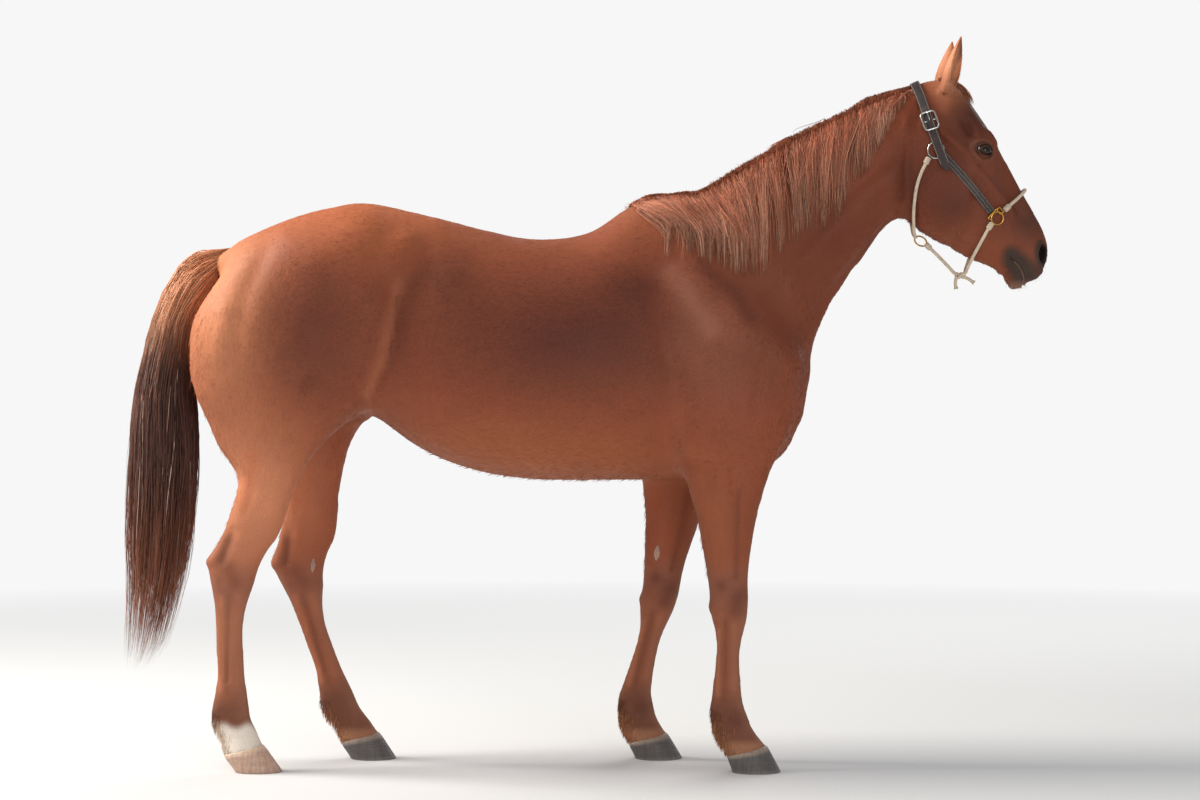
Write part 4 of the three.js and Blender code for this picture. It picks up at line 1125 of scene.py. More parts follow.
def with_nostril(points, normals, sign):
    """A deep comma-shaped nostril with a rolled rim, and how deep inside it each point lies, from 0 to 1."""
    near = np.flatnonzero((points[:, 0] > 1.17) & (points[:, 1] * sign > 0) & (points[:, 2] > 1.31))
    flat = side_view(points[near])
    upright = (flat[:, 1] - 1376) / 33
    front_edge = 1246 - 4 * upright**2 - 8 * np.clip(-upright, 0, 1)
    rear_edge = 1219 + 13 * np.clip(-upright, 0, 1.2) ** 1.6 + 6 * np.clip(upright, 0, 1.2) ** 2
    middle, half = (front_edge + rear_edge) / 2, np.maximum((front_edge - rear_edge) / 2, 1)
    inside = (1 - np.hypot((flat[:, 0] - middle) / half, upright)) * half
    gate = smooth(0.7, 1.3, np.abs(points[near, 1]) / MM / 22) * (np.abs(upright) < 1.5)
    push = smooth(-1.5, 4.5, inside) * gate
    points[near] += np.array([-0.35, -0.9 * sign, 0.25]) * (push * 20 * MM)[:, None]
    rim = np.exp(-((inside + 4) / 3.5) ** 2) * (flat[:, 0] < middle + 4) * gate
    points[near] += normals[near] * (rim * 2.4 * MM)[:, None]
    depth = np.zeros(len(points))
    depth[near] = push
    return points, depth


def with_mouth(points, normals):
    """The line between the lips, and their full edges."""
    flat = side_view(points)
    mine = (points[:, 0] > 1.1) & (points[:, 2] < 1.4)
    away = to_path(flat, LIPS + [(1182, 1286)])
    groove = -5.0 * np.exp(-(away / 1.8) ** 2) + 1.8 * np.exp(-((away - 6) / 3.2) ** 2)
    return points + normals * (np.where(mine, groove, 0) * MM)[:, None]


def build_skin():
    """The mesh of the skin and ears, how deep in a nostril each point lies, and a tree without the ears."""
    parts = [loft(TRUNK, 22, 72), loft(NECK, 16, 60), loft(HEAD, 8, 64)]
    parts += [loft(limb(leg, LIMBS[leg[:4]]), 16, 44) for leg in LEGS]
    parts += [ear_stub(side) for side in EARS]
    parts.append(loft(DOCK, 14, 20))
    mesh = remeshed(*joined(parts))
    for eye_reach, mouth_reach in ((52, 32), (34, 14)):
        refined(mesh, lambda p: near_eye(p, eye_reach * MM) | near_mouth(p, mouth_reach * MM))
    points, edges = points_of(mesh), edges_of(mesh)
    fine = near_eye(points, 56 * MM) | near_mouth(points, 36 * MM)
    points = eased(points, edges, np.where(fine, 0.4, 0.0), 4)
    move_points(mesh, points)
    normals = normals_of(mesh)
    points += normals * (sculpted(points, normals) - COAT_DEPTH)[:, None]
    points = with_mouth(points, normals)
    nostrils = np.zeros(len(points))
    for side, sign in SIDES.items():
        points = with_lids(points, side)
        points, depth = with_nostril(points, normals, sign)
        nostrils = np.maximum(nostrils, depth)
    edge = (points[:, 0] > 1.17) & (to_path(side_view(points), NOSTRIL) < 26)
    points = eased(points, edges, np.where(edge, 0.35, 0.0), 3)
    body = points, faces_of(mesh)
    made = new_mesh("skin", *joined([body, ear_shell("right"), ear_shell("left")]))
    bare_tree = BVHTree.FromPolygons(points.tolist(), [f for group in body[1] for f in group.tolist()])
    return made, np.pad(nostrils, (0, len(made.vertices) - len(points))), bare_tree


# ---------- eyes, hooves and chestnuts ----------

def build_eye(side, material):
    """The ball of an eye: a wide dark pupil that lies level, a brown iris and a bulging clear front."""
    centre, forward, up, out = eye_frame(side)
    polar = np.linspace(0.02, math.pi - 0.02, 90)
    angle = tau * np.arange(96) / 96
    bulge = EYE_RADIUS - 0.4 * MM + 1.0 * MM * smooth(0.75, 0.2, polar)
    flat = np.sin(polar)[:, None, None] * (np.cos(angle)[:, None] * forward + np.sin(angle)[:, None] * up)
    rings = centre + bulge[:, None, None] * (flat + np.cos(polar)[:, None, None] * out)
    points, faces = outward(over_rings(rings))
    u, v, depth = ((points - centre) @ way / EYE_RADIUS for way in (forward, up, out))
    turn = np.arctan2(v, u)
    far = np.hypot(u, v)
    ray = 0.5 + 0.5 * np.sin(turn * 37 + 3 * np.sin(turn * 11))
    colour = np.tile(srgb(104, 88, 78), (len(points), 1))
    colour = lerp(colour, srgb(34, 24, 20), smooth(0.86, 0.80, far)[:, None])
    colour = lerp(colour, srgb(66, 40, 25) * (0.7 + 0.6 * ray[:, None]), smooth(0.76, 0.66, far)[:, None])
    grains = 0.05 * np.sin(u * 30) * (v > 0)
    pupil = np.hypot(u / 0.50, (v + grains) / 0.27)
    colour = lerp(colour, srgb(13, 12, 14), smooth(1.08, 0.94, pupil)[:, None])
    colour[depth < 0] = srgb(104, 88, 78)
    name = f"eye_ball_{side}"
    piece(name, new_mesh(name, points, faces), colour, material, [f"eye_{side}"])


# Rows of the hoof's wall from the coronet to the sole: level, front, back, half width.
HOOF_ROWS = {"fore": [(-0.03, 52, 51, 45), (0, 54, 54, 48), (0.15, 57.5, 55, 52), (0.94, 71.3, 59.7, 59.6),
                      (0.985, 71.5, 59.6, 59.6), (1, 70, 58.5, 58)],
             "hind": [(-0.03, 52, 48, 43), (0, 54, 51, 46), (0.15, 57.5, 52, 50), (0.94, 69.3, 55.7, 55.6),
                      (0.985, 69.5, 55.6, 55.6), (1, 68, 54.5, 54)]}


def build_hoof(leg, material):
    """A hoof: the wall with its growth rings, the heel's bulbs parted by a cleft, and a flat sole."""
    coronet = coronet_level(leg)
    around, layers = 112, 64
    angle = tau * np.arange(around) / around
    c, sn = np.cos(angle), np.sin(angle)
    rows = np.array(HOOF_ROWS[leg[:4]], float)
    levels = np.sort(np.append(np.linspace(-0.03, 1, layers), 0.985))
    rings = []
    for level in levels:
        x, y, z = on_leg(leg, coronet + level)
        front, back, half = between(level, rows[:, 0], rows[:, 1:])
        drop = HEEL_DROP * max(0, 1 - abs(level))
        ring = 0.45 * math.sin(level * 62 + 1.1 * math.sin(level * 9)) * (level < 0.97)
        grow = 1 + ring / 60 * (0.6 + 0.4 * c)
        heel = smooth(-0.55, -0.95, c)
        cleft = 9 * np.exp(-(sn / 0.17) ** 2) * heel * (1 - 0.35 * level)
        bulbs = 4.5 * np.exp(-((np.abs(sn) - 0.42) / 0.22) ** 2) * smooth(-0.3, -0.8, c)
        bulbs *= smooth(0.75, 0.25, level)
        reach = np.where(c > 0, front, back) * np.sign(c) * np.abs(c) ** (2 / 2.1) * grow
        out = half * np.sign(sn) * np.abs(sn) ** (2 / 2.1) * grow * (1 - 0.05 * heel)
        height = np.maximum(z + drop * c, 0.25)
        rings.append(np.stack([x + reach + cleft - bulbs * 0.6, y + out, height], 1) * MM)
    points, faces = outward(over_rings(rings))
    level = np.concatenate([np.repeat(levels, around), [0, 1]])
    pale = leg == "hind_right"
    top, wall, rim = ((srgb(214, 184, 160), srgb(190, 156, 136), srgb(168, 138, 120)) if pale
                      else (srgb(150, 132, 118), srgb(92, 86, 83), srgb(118, 112, 108)))
    colour = lerp(top, wall, smooth(0.02, 0.22, level)[:, None])
    colour = lerp(colour, rim, smooth(0.8, 1, level)[:, None])
    sole = on_leg(leg, coronet + 1)
    turn = np.arctan2(points[:, 1] / MM - sole[1], points[:, 0] / MM - sole[0])
    colour = colour * (1 + 0.10 * np.sin(turn * 23) * np.sin(turn * 7 + 1))[:, None]
    name = f"{leg}_wall"
    piece(name, new_mesh(name, points, faces), colour, material,
          [f"{leg}_hoof"])


# Chestnuts, the horny patches inside the legs: leg, x and z of the middle, height and width in millimetres.
CHESTNUTS = [("fore_left", 196, 567, 44, 17), ("fore_right", 384, 567, 44, 17),
             ("hind_left", -746, 533, 40, 14), ("hind_right", -885, 540, 40, 14)]


def build_chestnuts(tree, material):
    rings, around = 26, 40
    polar = np.linspace(0.05, math.pi - 0.05, rings)[:, None]
    angle = tau * np.arange(around) / around
    for leg, x, z, tall, wide in CHESTNUTS:
        inner = -1 if leg.endswith("left") else 1
        start = Vector((x * MM, on_leg(leg, 1)[1] * MM + inner * 0.11, z * MM))
        hit, normal, _, _ = tree.ray_cast(start, Vector((0, -inner, 0)))
        u, v = np.sin(polar) * np.cos(angle) * tall / 2, np.sin(polar) * np.sin(angle) * wide / 2
        v = v * (1 - 0.55 * (u / tall * 2) ** 2) * (1 + 0.08 * np.sin(u * 0.5) + 0.05 * np.sin(u * 1.1 + 2))
        lumps = 1 + 0.35 * np.sin(u * 0.55 + 1) * np.cos(v * 0.8) + 0.18 * np.sin(u * 1.4 + v)
        flat = np.stack([u, v, np.cos(polar) * 3.4 * lumps], 2).reshape(-1, 3)
        points = laid(flat, np.array(hit) / MM, np.array(normal), (0.12, 0, 1))
        name = f"{leg}_chestnut"
        mesh = new_mesh(name, *outward(over_rings(points.reshape(rings, around, 3))))
        shade = srgb(176, 140, 122) * random.uniform(0.8, 1.15, (len(mesh.vertices), 1))
        piece(name, mesh, shade, material)


# ---------- colours of the coat ----------

CHESTNUT = srgb(146, 76, 50)
# Regions of other colour over the chestnut, partly painted light and shade: a lighter croup, buttocks,
# withers and near ear where the light falls, a belly lit from below, and a darker barrel, flank, thigh,
# neck, throat, jaw and temple where shade falls. (x, z) in metres, reach in x and z, colour, strength.
REGIONS_AND_PAINTED_LIGHT = [
    ((-0.62, 1.50), (0.42, 0.16), (206, 118, 76), 0.8), ((-0.96, 1.25), (0.13, 0.28), (226, 148, 106), 0.85),
    ((-0.03, 1.16), (0.40, 0.19), (90, 47, 38), 0.8), ((0.10, 1.52), (0.30, 0.12), (168, 98, 68), 0.6),
    ((-0.15, 0.80), (0.45, 0.14), (168, 96, 62), 0.8), ((-0.70, 1.17), (0.17, 0.23), (98, 53, 42), 0.65),
    ((0.36, 1.14), (0.16, 0.20), (154, 92, 70), 0.6), ((-0.36, 1.32), (0.09, 0.11), (88, 47, 38), 0.55),
    ((0.13, 1.28), (0.07, 0.06), (84, 44, 36), 0.45), ((0.06, 1.56), (0.10, 0.06), (206, 134, 98), 0.7),
    ((0.68, 1.42), (0.24, 0.20), (110, 58, 42), 0.75), ((0.50, 1.16), (0.12, 0.16), (120, 64, 46), 0.6),
    ((0.97, 1.58), (0.12, 0.14), (96, 52, 41), 0.65), ((1.12, 1.54), (0.12, 0.14), (106, 59, 44), 0.6),
    ((1.03, 1.745), (0.08, 0.09), (66, 37, 29), 0.8), ((1.00, 1.415), (0.12, 0.035), (150, 84, 58), 0.6),
    ((0.86, 1.60), (0.05, 0.10), (84, 46, 36), 0.5), ((1.07, 1.60), (0.05, 0.035), (128, 72, 54), 0.5),
    ((0.98, 1.50), (0.05, 0.06), (76, 42, 34), 0.5), ((0.99, 1.90), (0.06, 0.08), (244, 166, 122), 0.9),
    ((1.20, 1.47), (0.06, 0.07), (78, 54, 46), 0.7), ((-0.88, 0.74), (0.14, 0.18), (218, 142, 104), 0.9),
    ((-0.95, 0.42), (0.07, 0.24), (206, 136, 102), 0.7), ((0.34, 0.66), (0.10, 0.16), (160, 92, 62), 0.6),
    ((0.78, 1.30), (0.10, 0.10), (150, 84, 60), 0.5),
]


# Painted highlights and painted shade along the flank's fold and the shoulder blade: points and width in
# millimetres, colour, strength.
FOLD_HIGHLIGHTS_AND_SHADE = [
    ([(-484, 1300), (-506, 1222), (-530, 1100), (-579, 1001)], 15, (186, 116, 82), 0.32),
    ([(-448, 1290), (-464, 1222), (-490, 1110)], 28, (88, 48, 39), 0.3),
    ([(235, 1325), (285, 1245), (330, 1175)], 30, (180, 116, 92), 0.5),
    ([(305, 1346), (400, 1271), (436, 1205)], 20, (84, 46, 38), 0.4),
]

# Painted shade in the grooves and hollows of the lower legs and behind the knees, painted highlights along
# the tendons and on the gaskins, and other lighter and darker patches: lines of (level, ahead) with width,
# colour and strength.
LEG_TONES_LIGHT_AND_SHADE = {
    "fore": [
        ([(1.95, 22), (2.06, 16)], 24, (92, 50, 40), 0.55), ([(1.15, 30), (1.8, 20)], 9, (104, 56, 42), 0.5),
        ([(2.15, -8), (2.9, -14)], 9, (98, 56, 44), 0.3),
        ([(2.25, -27), (2.85, -31)], 6, (196, 128, 94), 0.35),
        ([(2.2, 14), (2.8, 14)], 8, (168, 108, 80), 0.5), ([(3.2, 10)], 22, (96, 54, 42), 0.45),
        ([(1.2, -30), (1.7, -20)], 16, (160, 92, 62), 0.5), ([(1.86, -20)], 16, (84, 46, 38), 0.45),
    ],
    "hind": [
        ([(3.7, -42), (3.93, -38)], 19, (80, 44, 36), 0.55), ([(4.0, -10), (4.1, 6)], 20, (118, 64, 48), 0.5),
        ([(4.2, -12), (4.85, -12)], 9, (98, 56, 44), 0.3),
        ([(4.2, -32), (4.85, -32)], 7, (198, 122, 86), 0.4),
        ([(4.2, 14), (4.8, 14)], 8, (170, 104, 76), 0.45),
        ([(2.6, -45), (3.3, -38)], 20, (190, 108, 72), 0.5),
    ],
}


def coat_colour(points, normals):
    """The colour of the coat at places on the horse, its markings included, with light and shade painted in.
    """
    x, y, z = points.T
    colour = np.tile(CHESTNUT, (len(points), 1))

    def lay(where, shade):
        nonlocal colour
        colour = lerp(colour, shade, np.clip(where, 0, 1)[:, None])

    # painted light and shade, with some of the coat's own tones
    for (cx, cz), (rx, rz), shade, strength in REGIONS_AND_PAINTED_LIGHT:
        lay(strength * np.exp(-((x - cx) / rx) ** 2 - ((z - cz) / rz) ** 2), srgb(*shade))
    flat = side_view(points)
    # painted highlights and shade along the folds of the flank and shoulder
    for line, wide, shade, strength in FOLD_HIGHLIGHTS_AND_SHADE:
        lay(strength * np.exp(-(to_path(flat, line) / wide) ** 2), srgb(*shade))
    # painted light from below: paler where the body faces down
    lay(0.35 * smooth(-0.2, -0.9, normals[:, 2]) * (z > 0.7), srgb(150, 90, 62))
    # legs: paler cannons, darker fetlocks, one white pastern behind on the right
    legs = smooth(0.76, 0.62, z)
    lay(0.6 * legs * smooth(0.60, 0.50, z), srgb(156, 98, 72))
    lay(0.5 * np.exp(-((z - 0.48) / 0.05) ** 2), srgb(134, 84, 68))
    lay(0.75 * smooth(0.24, 0.16, z), srgb(108, 68, 52))
    lay(0.5 * legs * smooth(0.0, 0.8, normals[:, 0]) * smooth(0.5, 0.4, z), srgb(160, 110, 88))
    # painted shade in grooves and hollows, painted highlights on tendons, and other patches
    for mine, _, near, _, (shade, strength) in leg_lines(points, LEG_TONES_LIGHT_AND_SHADE):
        where = np.zeros(len(points))
        where[mine] = near * strength
        lay(where, srgb(*shade))
    sock = (x < 0) & (y < 0)
    edge = 0.120 + 0.005 * np.sin(x * 90) + 0.004 * np.sin(y * 110)
    lay(0.95 * sock * smooth(edge + 0.014, edge - 0.014, z), srgb(236, 224, 210))
    band = smooth(0.095, 0.07, z) * ~sock
    lay(0.7 * band, srgb(176, 124, 92))
    # dark skin shows through at the muzzle, the eyes, the nostrils and inside the ears
    grey = srgb(62, 54, 48)
    face = x > 1.08
    lips = to_path(flat, LIPS)
    lay(0.92 * face * smooth(46, 16, lips) * smooth(1.10, 1.14, x), grey)
    lay(0.8 * face * smooth(1.40, 1.33, z) * smooth(1.13, 1.17, x), srgb(74, 58, 51))
    lay(0.9 * face * smooth(18, 4, to_path(flat, NOSTRIL + [(1242, 1370), (1240, 1395)])), grey)
    lay(0.6 * face * smooth(1.38, 1.30, z) * smooth(1.20, 1.24, x), srgb(92, 62, 50))
    lay(0.6 * face * smooth(1.315, 1.292, z), srgb(168, 118, 98))
    lay(0.65 * (x > 1.14) * smooth(2.8, 1.0, lips) * (z < 1.36), srgb(168, 138, 122))
    for side in EYE:
        centre, forward, up, outward = eye_frame(side)
        off = points - centre
        u, v = off @ forward / MM, off @ up / MM
        almond = np.hypot(u / 27, v / 18)
        lay(0.85 * (off @ outward > 0) * smooth(1.25, 0.85, almond), srgb(66, 51, 44))
        lay(0.35 * (off @ outward > 0) * np.exp(-((almond - 1.45) / 0.2) ** 2), srgb(140, 100, 80))
        base, ear_up, across, ahead = ear_axes(side)
        rel = points / MM - base
        height, inner = rel @ ear_up, rel @ ahead
        hollow = smooth(-16, -2, inner) * smooth(26, 16, np.abs(rel @ across)) * (normals @ ahead > 0)
        lay(0.75 * smooth(12, 24, height) * hollow, srgb(92, 58, 48))
    return colour


# ---------- an unwrap of the skin ----------

# Charts of the unwrap: corner and size on the map. Each one goes round its part of the body.
CHARTS = {"trunk": (0.01, 0.01, 0.46, 0.46), "neck": (0.50, 0.01, 0.24, 0.46),
          "head": (0.76, 0.01, 0.22, 0.46), "fore_right": (0.01, 0.50, 0.23, 0.46),
          "fore_left": (0.26, 0.50, 0.23, 0.46), "hind_right": (0.51, 0.50, 0.23, 0.46),
          "hind_left": (0.76, 0.50, 0.22, 0.46)}
HEAD_TOP, HEAD_END = np.array([0.93, 0, 1.70]), np.array([1.18, 0, 1.34])


def unwrapped(points):
    """Each place's own spot on a map of the skin: round the part of the body by angle, and along it."""
    x, y, z = points.T
    spots = np.empty((len(points), 2))
    head = ((points - HEAD_TOP) @ unit([0.9, 0, 0.35]) > -0.06) & (z > 1.2)
    neck = ~head & ((points - NECK_ROOT) @ NECK_WAY > 0.2) & (z > 0.95)
    legs = ~head & ~neck & (z < 0.80) & ((np.abs(x - 0.29) < 0.27) | (x < -0.45))
    trunk = ~(head | neck | legs)

    def chart(name, mask, around, along):
        left, bottom, wide, tall = CHARTS[name]
        spots[mask, 0] = left + wide * np.clip(around[mask] / tau + 0.5, 0, 1)
        spots[mask, 1] = bottom + tall * np.clip(along[mask], 0, 1)

    chart("trunk", trunk, np.arctan2(y, 1.17 - z), (x + 1.15) / 1.8)
    way = HEAD_END - HEAD_TOP
    off = points - HEAD_TOP
    down = off @ way / (way @ way)
    chart("head", head, np.arctan2(y, off @ unit([0.82, 0, 0.57])), (down + 0.9) / 2.3)
    off = points - NECK_ROOT
    chart("neck", neck, np.arctan2(y, off @ [-0.474, 0, 0.88]), (off @ NECK_WAY) / 0.9)
    for leg in LEGS:
        mine = legs & ((x > 0) == leg.startswith("fore")) & ((y > 0) == leg.endswith("left"))
        joints = np.array(LEGS[leg], float)[::-1] * MM
        cx, cy = between(z, joints[:, 2], joints[:, :2])
        chart(leg, mine, np.arctan2(y - cy, x - cx), z / 0.85)
    return spots


PATCH = 0.003  # the width of a tuft's patch on the map
LETTERS = "abcdefgh"  # for the pieces that one coat is split into


def add_map(mesh, spots, corner_of):
    """Gives each tuft a small patch at its root's spot. corner_of tells each face corner's tuft, and the
    place of its point in the patch."""
    layer = mesh.uv_layers.new(name="OFBake")
    tuft, within = corner_of
    layer.uv.foreach_set("vector", (spots[tuft] + (within - 0.5) * PATCH).astype(np.float32).ravel())


# ---------- hair ----------

def strands(paths, widths, colours, axis=(0, 1, 0), flat=0.45):
    """Closed tapering locks of hair along paths (n, steps, 3), three-sided, with their colours and patches.
    The axis is one that no lock runs along."""
    n, steps = paths.shape[:2]
    along = np.empty_like(paths)
    along[:, 1:-1] = paths[:, 2:] - paths[:, :-2]
    along[:, 0] = paths[:, 1] - paths[:, 0]
    along[:, -1] = paths[:, -1] - paths[:, -2]
    along = unit(along)
    roll = random.uniform(0, tau, (n, 1, 1))
    side = unit(np.cross(along, np.array(axis, float)) + 1e-6)
    out = np.cross(side, along)
    lean = np.cos(roll) * 0.5
    across, thick = unit(side + out * lean), unit(out - side * lean)
    half = widths[:, :, None] / 2
    ring = np.stack([paths - across * half, paths + across * half, paths + thick * half * 2 * flat], 2)
    points = ring[:, :-1].reshape(n, -1, 3)
    tips = paths[:, -1:]
    points = np.concatenate([points, tips], 1)
    per = points.shape[1]
    faces = []
    for k in range(steps - 2):
        for i in range(3):
            j = (i + 1) % 3
            faces.append((k * 3 + j, k * 3 + i, k * 3 + 3 + j))
            faces.append((k * 3 + 3 + j, k * 3 + i, k * 3 + 3 + i))
    last = (steps - 2) * 3
    faces += [(last + (i + 1) % 3, last + i, per - 1) for i in range(3)]
    faces.append((0, 1, 2))
    faces = np.array(faces)
    place = np.empty((per, 2))
    place[:-1, 0] = np.tile([0.0, 1.0, 0.5], steps - 1)
    place[:-1, 1] = np.repeat(np.arange(steps - 1) / (steps - 1), 3)
    place[-1] = (0.5, 1)
    if colours.ndim == 2:
        colours = np.repeat(colours[:, None], steps, 1)
    shades = np.concatenate([np.repeat(colours[:, :-1], 3, 1), colours[:, -1:]], 1)
    every = (np.arange(n)[:, None, None] * per + faces).reshape(-1, 3)
    return points.reshape(-1, 3), every, shades.reshape(-1, 3), (np.repeat(np.arange(n), faces.size),
                                                                  np.tile(place[faces.ravel()], (n, 1)))


MOST_TRIANGLES = 190000  # in one piece


def hair_pieces(name, paths, widths, colours, material, slot, replaces=(), axis=(0, 1, 0)):
    """Locks as one piece, or several where they have too many triangles, with the bake's map."""
    each = (paths.shape[1] - 2) * 6 + 4
    count = max(1, math.ceil(len(paths) * each / MOST_TRIANGLES))
    for k in range(count):
        pick = slice(k, None, count)
        points, faces, shades, corners = strands(paths[pick], widths[pick], colours[pick], axis)
        label = name if count == 1 else f"{name}_{LETTERS[k]}"
        mesh = new_mesh(label, points, faces)
        piece(label, mesh, shades, material, replaces)
        add_map(mesh, unwrapped(paths[pick, 0]), corners)


class Hairs:
    """Hairs of several kinds, gathered for one piece."""

    def __init__(self):
        self.parts = []

    def add(self, paths, width, colours):
        """Hairs along paths, with their full widths in millimetres and their colours."""
        count, steps = paths.shape[:2]
        self.parts.append((paths, tapered(count, steps, width * MM), np.broadcast_to(colours, (count, 3))))

    def build(self, name, material):
        hair_pieces(name, *(np.concatenate(part) for part in zip(*self.parts)), material, "coat")


def tapered(n, steps, width, root=0.7, tip=0.25):
    """Widths along locks: from the root's share to full and down to the tip's share."""
    t = np.linspace(0, 1, steps)
    shape = np.minimum(lerp(root, 1, np.clip(t / 0.2, 0, 1)), lerp(1, tip, np.clip((t - 0.45) / 0.55, 0, 1)))
    return np.broadcast_to(width, n)[:, None] * shape


class Reach:
    """How far the skin reaches sideways at each place of the side view."""

    def __init__(self, tree, x_range, z_range, step=0.01):
        self.x, self.z, self.step = x_range[0], z_range[0], step
        xs, zs = np.arange(*x_range, step), np.arange(*z_range, step)
        self.table = np.zeros((len(xs), len(zs)))
        for i, x in enumerate(xs):
            for j, z in enumerate(zs):
                hit = tree.ray_cast(Vector((x, -1, z)), Vector((0, 1, 0)))[0]
                self.table[i, j] = -hit[1] if hit else -0.03

    def __call__(self, x, z):
        u = np.clip((x - self.x) / self.step, 0, self.table.shape[0] - 1.001)
        v = np.clip((z - self.z) / self.step, 0, self.table.shape[1] - 1.001)
        i, j = u.astype(int), v.astype(int)
        f, g = u - i, v - j
        t = self.table
        return (t[i, j] * (1 - f) * (1 - g) + t[i + 1, j] * f * (1 - g)
                + t[i, j + 1] * (1 - f) * g + t[i + 1, j + 1] * f * g)


# The mane's line: x, the crest of the hair, and the tips. Millimetres, as in the solids.
MANE = np.array([(66, 1492, 1462), (110, 1519, 1432), (165, 1548, 1385), (213, 1552, 1322),
                 (306, 1561, 1352),
                 (415, 1628, 1303), (479, 1664, 1300), (535, 1697, 1392), (623, 1741, 1432),
                 (674, 1764, 1436), (706, 1780, 1545), (759, 1812, 1590), (805, 1824, 1690),
                 (850, 1833, 1765), (872, 1838, 1800)]) * MM
MANE_THICK = 17 * MM


def mane_paths(reach, tree, count, locks, steps):
    """Hairs from the crest over the right side of the neck, gathered into tapering locks. Returns the lines,
    each one's lock, and how far out it lies, from 0 to 1."""
    root_x = lerp(0.118, 0.878, chance(count) ** 0.93)
    lock_x = np.sort(random.uniform(0.115, 0.885, locks))
    lock_long = random.normal(0.98, 0.19, locks).clip(0.5, 1.2)
    lock_long *= lerp(0.72, 1, smooth(0.13, 0.24, lock_x)) * lerp(1, 1.14, smooth(0.5, 0.72, lock_x))
    lock_tip = lock_x + random.normal(0, 0.014, locks)
    for low, high, drift in ((0.62, 0.2, 0.075), (0.24, 0.13, 0.03), (0.4, 0.7, -0.015)):
        lock_tip += drift * smooth(low, high, lock_x)
    mine = np.abs(root_x[:, None] - lock_x + random.normal(0, 0.011, (count, 1))).argmin(1)
    loose = chance(count) < 0.14
    top = np.interp(root_x, MANE[:, 0], MANE[:, 1]) - 15 * MM
    tip_x = lock_tip[mine] + random.normal(0, 1, count) * np.where(loose, 0.022, 0.0028)
    low = np.interp(tip_x, MANE[:, 0], MANE[:, 2])
    long = lock_long[mine] * random.uniform(0.55, 1.06, count)
    short = chance(count) < 0.22
    long = np.where(short, long * random.uniform(0.35, 0.85, count), long)
    tip_z = np.maximum(top - (top - low) * long, low - 0.004)
    t = (np.linspace(0, 1, steps) ** 1.35)[None]
    over = np.clip(t / 0.07, 0, 1)
    z = top[:, None] + 0.012 - (top - tip_z)[:, None] * np.clip(t - 0.05, 0, 1) / 0.95
    z -= 0.016 * (1 - np.sin(over * math.pi / 2))
    x = lerp(root_x[:, None], tip_x[:, None], smooth(0.02, 0.72, t))
    x += random.normal(0, 0.005, (count, 1)) * np.sin(t * math.pi)
    wave = random.uniform(0, tau, locks)[mine][:, None]
    x += 0.0045 * np.sin(wave + t * random.uniform(5, 9, (count, 1))) * t
    outer = chance(count)
    off = ((0.2 + 0.8 * outer) * MANE_THICK)[:, None] * (1 - 0.7 * t) + 0.0015
    out = reach(x, z) + off + 0.004 * np.sin(wave * 2 + t * 5) * t
    root_y = random.normal(0.004, 0.012, count).clip(-0.014, 0.032) * lerp(0.3, 1, smooth(0.11, 0.26, root_x))
    leave = smooth(0.0, 0.13, t)
    y = lerp(root_y[:, None], -np.maximum(out, 0.006), leave)
    z -= (0.35 * np.maximum(root_y, 0))[:, None] * (1 - leave)
    paths = np.stack([x, y, z], 2)
    roots, normals = on_skin(tree, np.stack([root_x, root_y, top - 0.9 * np.abs(root_y)], 1))
    paths[:, 0] = roots - normals * 0.001
    paths[:, 1] = lerp(paths[:, 1], roots + normals * 0.003, 0.45)
    return paths, mine, outer


def mane_colours(paths, mine, outer, locks):
    """Red-brown at the roots and paler towards the tips, partly sun-bleached and partly painted sunlight,
    with paler and darker locks, and darker for the hairs that lie deeper in the mane.
    """
    n, steps = paths.shape[:2]
    t = np.linspace(0, 1, steps)[None, :, None]
    root, mid, tip = srgb(176, 98, 68), srgb(200, 132, 102), srgb(250, 204, 174)
    bleach_and_sunlight = (0.25 + 0.75 * chance(locks))[mine][:, None, None]
    lock = random.uniform(0.78, 1.15, locks)[mine][:, None, None]
    hair = random.uniform(0.55, 1.35, (n, 1, 1))
    colour = lerp(root, mid, smooth(0.0, 0.4, t) * bleach_and_sunlight)
    # paler tips: partly sun-bleached hair, partly painted sunlight
    colour = lerp(colour, tip, smooth(0.35, 1.0, t) * bleach_and_sunlight * chance(n, 1, 1))
    return colour * hair * lock * lerp(0.7, 1.12, outer[:, None, None])


def build_mane(reach, tree):
    count, locks, steps = 5200, 105, 12
    paths, mine, outer = mane_paths(reach, tree, count, locks, steps)
    widths = tapered(count, steps, random.uniform(1.3, 3.4, count) * MM, 0.9, 0.2)
    colours = mane_colours(paths, mine, outer, locks)
    hair_pieces("mane_hair", paths, widths, colours, hair_material("mane_hair", 0.5), "mane_hair", ("mane",),
                (1, 0, 0))


# The tail's outline, a little fuller towards the buttocks than the solid: outer x, z, inner x, z, and half
# width, in millimetres.
TAIL = np.array([(-948, 1421, -962, 1345, 24), (-990, 1415, -975, 1308, 34), (-1041, 1399, -998, 1272, 39),
                 (-1096, 1357, -1018, 1240, 43), (-1138, 1290, -1034, 1212, 48),
                 (-1168, 1212, -1048, 1170, 54), (-1191, 1130, -1056, 1104, 59),
                 (-1213, 1030, -1054, 1020, 64), (-1232, 915, -1044, 910, 67),
                 (-1243, 770, -1044, 765, 66), (-1246, 620, -1054, 620, 60), (-1247, 500, -1075, 500, 50),
                 (-1250, 390, -1105, 390, 36), (-1251, 305, -1133, 305, 24),
                 (-1246, 252, -1185, 252, 9)]) * MM
TAIL_LENGTHS = run_of((TAIL[:, :2] + TAIL[:, 2:4]) / 2)


TAIL_CORE = 0.42  # how far out in the envelope the hairs leave the dock


